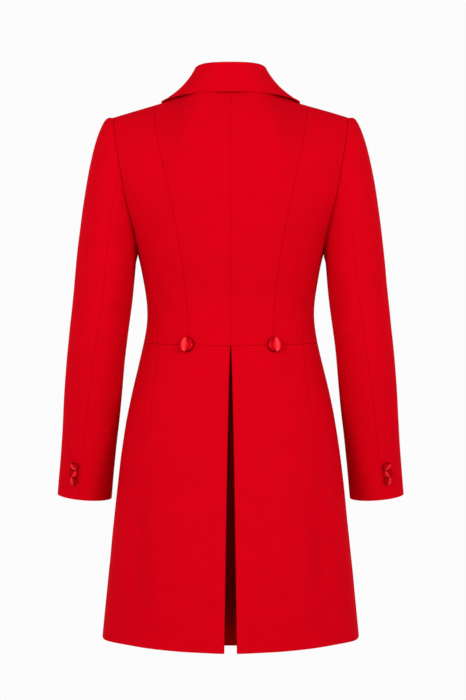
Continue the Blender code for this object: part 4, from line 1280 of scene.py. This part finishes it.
def sew(node, faces, side, cut, material, cloth):
    """A cloth wall between an outer and an inner grid, with rounded edges and its grain on a UV map."""
    outer, inner = on_side(faces.outer, side), on_side(faces.inner, side)
    rows, columns = outer.shape[0] - 1, outer.shape[1] - 1
    flat = grain_map(outer)
    # Distance from the sewn edges, for the painted seam shadow
    from_seam = np.minimum(seam_distance(outer, cut.edges), faces.line)
    bm = bmesh.new()
    grain = bm.loops.layers.uv.new("grain")
    seams = bm.loops.layers.uv.new("seams")
    bmesh.ops.create_grid(bm, x_segments=columns, y_segments=rows, size=1.0)
    made = bmesh.ops.extrude_face_region(bm, geom=bm.faces[:], use_keep_orig=True)
    within = {item for item in made["geom"] if isinstance(item, bmesh.types.BMVert)}
    cells = {}
    for vert in bm.verts:
        i = round((vert.co.x + 1.0) * 0.5 * columns)
        j = round((vert.co.y + 1.0) * 0.5 * rows)
        cells[vert] = j, i
        vert.co = inner[j, i] if vert in within else outer[j, i]
    for face in bm.faces:
        for loop in face.loops:
            cell = cells[loop.vert]
            loop[grain].uv = flat[cell]
            loop[seams].uv = from_seam[cell], 0.0
    bmesh.ops.recalc_face_normals(bm, faces=bm.faces[:])
    piece = add_piece(node + "_cloth", bm, material, node)
    rounding = piece.modifiers.new("Rolled edges", "BEVEL")
    rounding.width = cloth.edge_roll
    rounding.segments = 3
    rounding.limit_method = "ANGLE"
    rounding.angle_limit = math.radians(50.0)
    rounding.harden_normals = True
    near = [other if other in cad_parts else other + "_" + side for other in cut.sewn_to]
    return piece


def sew_pair(stem, faces_of, material, cloth):
    """The left and the right piece of a pair."""
    for side in ("left", "right"):
        sew(stem + "_" + side, faces_of(side), side, CUTS[stem], material, cloth)


def covered_button(node, radius, dome, seat, normal, down, tilt, clear, cover_turn, material):
    """A satin-covered button: a ball pressed into a domed mould, its poles at the ends of the fold.

    The button faces along the normal, tipped towards its downward way by the tilt.
    """
    normal = unit(np.asarray(normal, float))
    down = unit(down - normal * np.dot(down, normal))
    lean, turn = math.radians(tilt), math.radians(cover_turn)
    axis = normal * math.cos(lean) + down * math.sin(lean)
    sideways = unit(np.cross(down, axis))
    fore = np.cross(axis, sideways)
    to_fold = sideways * math.cos(turn) + fore * math.sin(turn)
    beside = fore * math.cos(turn) - sideways * math.sin(turn)
    base = seat + normal * (clear + BUTTON_BACK * radius * math.sin(lean))
    bm = bmesh.new()
    grain = bm.loops.layers.uv.new("grain")
    # This map carries the distance for the painted fold shade and the place across for the painted sheen band
    folds = bm.loops.layers.uv.new("seams")
    bmesh.ops.create_uvsphere(bm, u_segments=BUTTON_ROUND, v_segments=BUTTON_RINGS, radius=1.0)
    laid = {}
    for vert in bm.verts:
        x, y, z = vert.co
        across, height, inset = cover_shape(x, y, z)
        laid[vert] = (x * radius, z * radius), (cover_line(across, x, y, z) * radius, across)
        vert.co = base + (to_fold * x + beside * z) * inset * radius + axis * height * dome
    for face in bm.faces:
        for loop in face.loops:
            loop[grain].uv, loop[folds].uv = laid[loop.vert]
    bmesh.ops.recalc_face_normals(bm, faces=bm.faces[:])
    return add_piece(node + "_satin", bm, material, node)


def cover_shape(x, y, z):
    """Where a point of a unit ball lies on a covered button.

    Gives its share of the chord across the fold, its height as a share of the dome, and how far it is
    drawn in. The half of positive y makes the dome, the other half the back.
    """
    chord = math.hypot(x, y)
    across = x / chord if chord > 1e-6 else 0.0
    if y < 0.0 and chord > 1e-6:
        under = float(ease(-y / chord / BUTTON_EDGE))
        return across, COVER_RIM * (1.0 - under), 1.0 - (1.0 - BUTTON_BACK) * under
    swell = across + COVER_SHIFT * (1.0 - across * across)
    end = z ** 10
    reach = min(1.0, math.sqrt(swell * swell * (1.0 - end) + end))
    groove = COVER_FOLD_DEPTH * math.exp(-((across - COVER_FOLD) / COVER_FOLD_WIDTH) ** 2) * (1.0 - end)
    crown = (1.0 - reach ** COVER_FULLNESS[0]) ** COVER_FULLNESS[1]
    return across, COVER_RIM + (1.0 - COVER_RIM) * crown - groove, 1.0


def cover_line(across, x, y, z):
    """Distance to a cover's fold, or to its edge beyond the fold, in shares of the radius, for painted shade.
    """
    if y < 0.0:
        return 0.0
    edge = 1.0 - math.hypot(x, z) + COVER_RIM * float(ease((COVER_FOLD - across) / (0.5 + COVER_FOLD)))
    return min(edge, abs(across - COVER_FOLD) * math.hypot(x, y) + COVER_FOLD_WIDTH * 0.3)


# Settings

class TailcoatCloth(bpy.types.PropertyGroup):
    wool_colour: bpy.props.FloatVectorProperty(
        name="Wool", description="Colour of the coat's cloth", subtype="COLOR", size=3, min=0.0, max=1.0,
        default=(0.560, 0.0002, 0.0062))
    # Painted shade: the pleat strip is the coat's wool, painted much darker for the shade deep inside the
    # pleat
    pleat_shade_colour: bpy.props.FloatVectorProperty(
        name="Pleat painted shade", description="Colour of the strip at the back of the pleat", subtype="COLOR",
        size=3, min=0.0, max=1.0, default=(0.170, 0.0001, 0.0008))
    thickness: bpy.props.FloatProperty(
        name="Thickness", description="Thickness of the made-up cloth", unit="LENGTH", min=0.001, max=0.003,
        default=0.002)
    edge_roll: bpy.props.FloatProperty(
        name="Edge roll", description="Rounding of the cloth along its seams and edges", unit="LENGTH",
        min=0.0002, max=0.0010, default=0.0007)
    rib_pitch: bpy.props.FloatProperty(
        name="Rib pitch", description="Distance between two ribs of the twill", unit="LENGTH", min=0.0005,
        max=0.004, default=0.0012)
    nap_strength: bpy.props.FloatProperty(
        name="Nap", description="How strongly the nap and the ribs stand out", subtype="FACTOR", min=0.0,
        max=1.0, default=0.35)


class TailcoatButtons(bpy.types.PropertyGroup):
    satin_colour: bpy.props.FloatVectorProperty(
        name="Satin", description="Colour of the covered buttons", subtype="COLOR", size=3, min=0.0, max=1.0,
        default=(0.560, 0.0020, 0.0080))
    # Painted highlight: the satin is painted in this lighter colour along the swell of each button, for its
    # sheen
    painted_sheen_colour: bpy.props.FloatVectorProperty(
        name="Sheen colour", description="Colour of the satin where it is drawn tight", subtype="COLOR",
        size=3, min=0.0, max=1.0, default=(0.860, 0.0280, 0.0330))
    big_radius: bpy.props.FloatProperty(
        name="Big radius", description="Radius of the waist and front buttons", unit="LENGTH", min=0.008,
        max=0.016, default=0.0125)
    big_dome: bpy.props.FloatProperty(
        name="Big dome", description="Height of the waist and front buttons", unit="LENGTH", min=0.003,
        max=0.010, default=0.0070)
    small_radius: bpy.props.FloatProperty(
        name="Small radius", description="Radius of the cuff buttons", unit="LENGTH", min=0.005, max=0.010,
        default=0.0075)
    small_dome: bpy.props.FloatProperty(
        name="Small dome", description="Height of the cuff buttons", unit="LENGTH", min=0.002, max=0.006,
        default=0.0036)


class TailcoatStage(bpy.types.PropertyGroup):
    camera_place: bpy.props.FloatVectorProperty(
        name="Camera", description="Place of the camera behind the coat", subtype="XYZ", size=3,
        default=(-0.0038, 3.6, -0.366))
    camera_aim: bpy.props.FloatVectorProperty(
        name="Aim", description="Point that the camera looks at", subtype="XYZ", size=3,
        default=(-0.0038, 0.0, -0.415))
    view_height: bpy.props.FloatProperty(
        name="View height", description="Height of the picture at the aim", unit="LENGTH", min=0.2, max=5.0,
        default=1.148)
    key_power: bpy.props.FloatProperty(
        name="Key", description="Power of each of the two key lights", unit="POWER", min=0.0, max=500.0,
        default=28.5)
    front_power: bpy.props.FloatProperty(
        name="Front fill", description="Power of the light in front of the coat", unit="POWER", min=0.0,
        max=500.0, default=14.0)
    floor_drop: bpy.props.FloatProperty(
        name="Floor", description="Height of the floor below the hem", unit="LENGTH", min=0.1, max=2.0,
        default=0.5)


# Operators

class TAILCOAT_OT_bodice(bpy.types.Operator):
    """Cut and sew the back, side and front panels above the waist"""
    bl_idname = "tailcoat.bodice"
    bl_label = "Bodice"

    def execute(self, context):
        cloth = context.scene.tailcoat_cloth
        wool = red_wool(cloth)
        charts = {"back": back_chart(), "side_back": side_back_chart(), "side_front": side_front_chart(),
                  "front": front_chart()}
        for stem, cells in charts.items():
            sew_pair(stem, lambda side: body_faces(cells, side, cloth.thickness), wool, cloth)
        return {"FINISHED"}


class TAILCOAT_OT_tails(bpy.types.Operator):
    """Hang the two tails with their darts and the returns of the pleat"""
    bl_idname = "tailcoat.tails"
    bl_label = "Tails"

    def execute(self, context):
        cloth = context.scene.tailcoat_cloth
        wool = red_wool(cloth)
        sew_pair("skirt", lambda side: tail_faces(side, cloth.thickness), wool, cloth)
        return {"FINISHED"}


class TAILCOAT_OT_pleat(bpy.types.Operator):
    """Set the strip in at the back of the centre pleat"""
    bl_idname = "tailcoat.pleat"
    bl_label = "Pleat underlay"

    def execute(self, context):
        cloth = context.scene.tailcoat_cloth
        # The pleat strip is a painted-shade copy of the wool, with painted light towards the hem
        wool = finish_named("dark_red_wool", wool_finish, cloth.pleat_shade_colour, cloth, PAINTED_LIGHT_GAIN)
        faces = underlay_faces(cloth.thickness)
        sew("pleat_underlay", faces, "left", CUTS["pleat_underlay"], wool, cloth)
        return {"FINISHED"}


class TAILCOAT_OT_sleeves(bpy.types.Operator):
    """Set in the two-piece sleeves"""
    bl_idname = "tailcoat.sleeves"
    bl_label = "Sleeves"

    def execute(self, context):
        cloth = context.scene.tailcoat_cloth
        wool = red_wool(cloth)
        spans = {"sleeve_top": (SLEEVE_FRONT_TURN - 360, SLEEVE_BACK_TURN),
                 "sleeve_under": (SLEEVE_BACK_TURN, SLEEVE_FRONT_TURN)}
        for stem, span in spans.items():
            sew_pair(stem, lambda side: sleeve_faces(*span, side, cloth.thickness), wool, cloth)
        return {"FINISHED"}


class TAILCOAT_OT_collar(bpy.types.Operator):
    """Turn the collar down over the neck seam, and the lapels back from the fronts"""
    bl_idname = "tailcoat.collar"
    bl_label = "Collar and lapels"

    def execute(self, context):
        cloth = context.scene.tailcoat_cloth
        wool = red_wool(cloth)
        sew("collar", collar_faces(cloth.thickness), "left", CUTS["collar"], wool, cloth)
        sew_pair("lapel", lambda side: lapel_faces(side, cloth.thickness), wool, cloth)
        return {"FINISHED"}


class TAILCOAT_OT_buttons(bpy.types.Operator):
    """Sew on the covered buttons at the waist, the cuffs and the front"""
    bl_idname = "tailcoat.buttons"
    bl_label = "Covered buttons"

    def execute(self, context):
        sizes = context.scene.tailcoat_buttons
        satin = finish_named("red_satin", satin_finish, sizes.satin_colour, sizes.painted_sheen_colour)
        down = np.array([0.0, 0.0, -1.0])
        span = SLEEVE[-1].height - SLEEVE[0].height
        swing = math.radians(CUFF_BUTTON_SWING)
        angle = angle_at(WAIST_BUTTON.out, WAIST_BUTTON.height)
        for side, turned in (("left", 180.0), ("right", 0.0)):
            covered_button("button_waist_" + side, sizes.big_radius, sizes.big_dome,
                           on_side(form(angle, WAIST_BUTTON.height), side),
                           on_side(outward(angle, WAIST_BUTTON.height), side),
                           down, 0.0, WAIST_BUTTON_CLEAR, turned, satin)
            for number, height in enumerate(CUFF_BUTTON_HEIGHTS, 1):
                along = 1.0 + (height - SLEEVE[0].height) / span
                seat = sleeve(CUFF_BUTTON_TURN, along)
                way = sleeve(CUFF_BUTTON_TURN, along + 0.01) - seat
                facing = unit(sleeve_outward(CUFF_BUTTON_TURN, along))
                backward = unit(np.cross(facing, way))
                backward = backward * np.sign(backward[1])
                facing = facing * math.cos(swing) + backward * math.sin(swing)
                cover = CUFF_COVER_TURNS[number - 1]
                clear = BUTTON_CLEAR + BUTTON_BACK * sizes.small_radius * math.sin(swing)
                covered_button("button_cuff_%s_%d" % (side, number), sizes.small_radius, sizes.small_dome,
                               on_side(seat, side), on_side(facing, side), on_side(way, side),
                               CUFF_BUTTON_TILT, clear, 180.0 - cover if side == "left" else cover, satin)
        for number, height in enumerate(FRONT_BUTTON_HEIGHTS, 1):
            seat = front_points(np.array(0.0), np.array(height), 0.0, "right")
            facing = outward(np.array(math.pi), np.array(height))
            covered_button("button_front_%d" % number, sizes.big_radius, sizes.big_dome, mirrored(seat),
                           mirrored(facing), down, 0.0, FRONT_BUTTON_CLEAR, FRONT_COVER_TURN * number, satin)
        return {"FINISHED"}


class TAILCOAT_OT_stage(bpy.types.Operator):
    """Set up the floor, the lights, the white surround and the camera"""
    bl_idname = "tailcoat.stage"
    bl_label = "Stage"

    def execute(self, context):
        stage = context.scene.tailcoat_stage
        add_floor(stage.floor_drop)
        aim = Vector(stage.camera_aim)
        for side in ("left", "right"):
            place = on_side(np.array(KEY_PLACE), side)
            add_light("key_" + side, place, Vector(KEY_AIM), KEY_SIZE, stage.key_power)
        add_light("front_fill", FILL_PLACE, aim, FILL_SIZE, stage.front_power)
        add_surround(context.scene)
        add_camera(context.scene, Vector(stage.camera_place), aim, stage.view_height)
        context.scene.view_settings.view_transform = "Standard"
        return {"FINISHED"}


def add_floor(drop):
    """A round pale floor below the hem, that ends short of the part of the surround behind the coat."""
    bm = bmesh.new()
    bmesh.ops.create_circle(bm, cap_ends=True, segments=FLOOR_ROUND, radius=FLOOR_RADIUS)
    bmesh.ops.translate(bm, verts=bm.verts[:], vec=(0.0, 0.0, HEM - drop))
    mesh = bpy.data.meshes.new("floor")
    bm.to_mesh(mesh)
    bm.free()
    paint = {"Base Color": (*FLOOR_COLOUR, 1.0), "Roughness": 0.9}
    mesh.materials.append(Finish("pale_floor").surface(FLOOR_COLOUR, paint))
    floor = bpy.data.objects.new("floor", mesh)
    bpy.context.scene.collection.objects.link(floor)


def add_light(name, place, aim, size, power):
    lamp = bpy.data.lights.new(name, "AREA")
    lamp.shape = "DISK"
    lamp.size = size
    lamp.energy = power
    light = bpy.data.objects.new(name, lamp)
    light.location = place
    light.rotation_euler = (aim - Vector(place)).to_track_quat("-Z", "Y").to_euler()
    bpy.context.scene.collection.objects.link(light)


def add_surround(scene):
    """White studio walls all round, with a dimmer ceiling."""
    world = bpy.data.worlds.new("studio")
    world.use_nodes = True
    walls = Nodes(world.node_tree)
    upward = walls.part(walls.node("ShaderNodeTexCoord", {}, {}, "Generated"), "Z")
    tone = walls.node("ShaderNodeValToRGB", {"stops": SURROUND_STOPS}, {"Fac": upward}, "Color")
    background = walls.tree.nodes["Background"]
    walls.feed(background.inputs["Color"], tone)
    walls.feed(background.inputs["Strength"], SURROUND_STRENGTH)
    scene.world = world


def add_camera(scene, place, aim, view_height):
    data = bpy.data.cameras.new("camera")
    data.sensor_width = SENSOR_WIDTH
    data.lens = data.sensor_width * abs(place.y - aim.y) / view_height
    camera = bpy.data.objects.new("camera", data)
    camera.location = place
    camera.rotation_euler = (aim - place).to_track_quat("-Z", "Y").to_euler()
    scene.collection.objects.link(camera)
    scene.camera = camera


class TAILCOAT_PT_panel(bpy.types.Panel):
    """Settings and steps of the tailcoat"""
    bl_idname = "TAILCOAT_PT_panel"
    bl_label = "Tailcoat"
    bl_space_type = "VIEW_3D"
    bl_region_type = "UI"
    bl_category = "Tailcoat"

    def draw(self, context):
        for setting in SETTINGS:
            group = getattr(context.scene, setting)
            box = self.layout.box()
            for name in group.__annotations__:
                box.prop(group, name)
        for step in STEPS:
            self.layout.operator(step.bl_idname)


STEPS = (TAILCOAT_OT_bodice, TAILCOAT_OT_tails, TAILCOAT_OT_pleat, TAILCOAT_OT_sleeves, TAILCOAT_OT_collar,
         TAILCOAT_OT_buttons, TAILCOAT_OT_stage)
SETTINGS = {
    "tailcoat_cloth": TailcoatCloth,
    "tailcoat_buttons": TailcoatButtons,
    "tailcoat_stage": TailcoatStage,
}


def register():
    for made in (*SETTINGS.values(), *STEPS, TAILCOAT_PT_panel):
        bpy.utils.register_class(made)
    for name, group in SETTINGS.items():
        setattr(bpy.types.Scene, name, bpy.props.PointerProperty(type=group))


def unregister():
    for name in SETTINGS:
        delattr(bpy.types.Scene, name)
    for made in reversed((*SETTINGS.values(), *STEPS, TAILCOAT_PT_panel)):
        bpy.utils.unregister_class(made)


def main():
    register()
    bpy.ops.tailcoat.bodice()
    bpy.ops.tailcoat.tails()
    bpy.ops.tailcoat.pleat()
    bpy.ops.tailcoat.sleeves()
    bpy.ops.tailcoat.collar()
    bpy.ops.tailcoat.buttons()
    bpy.ops.tailcoat.stage()


if __name__ == "__main__":
    main()
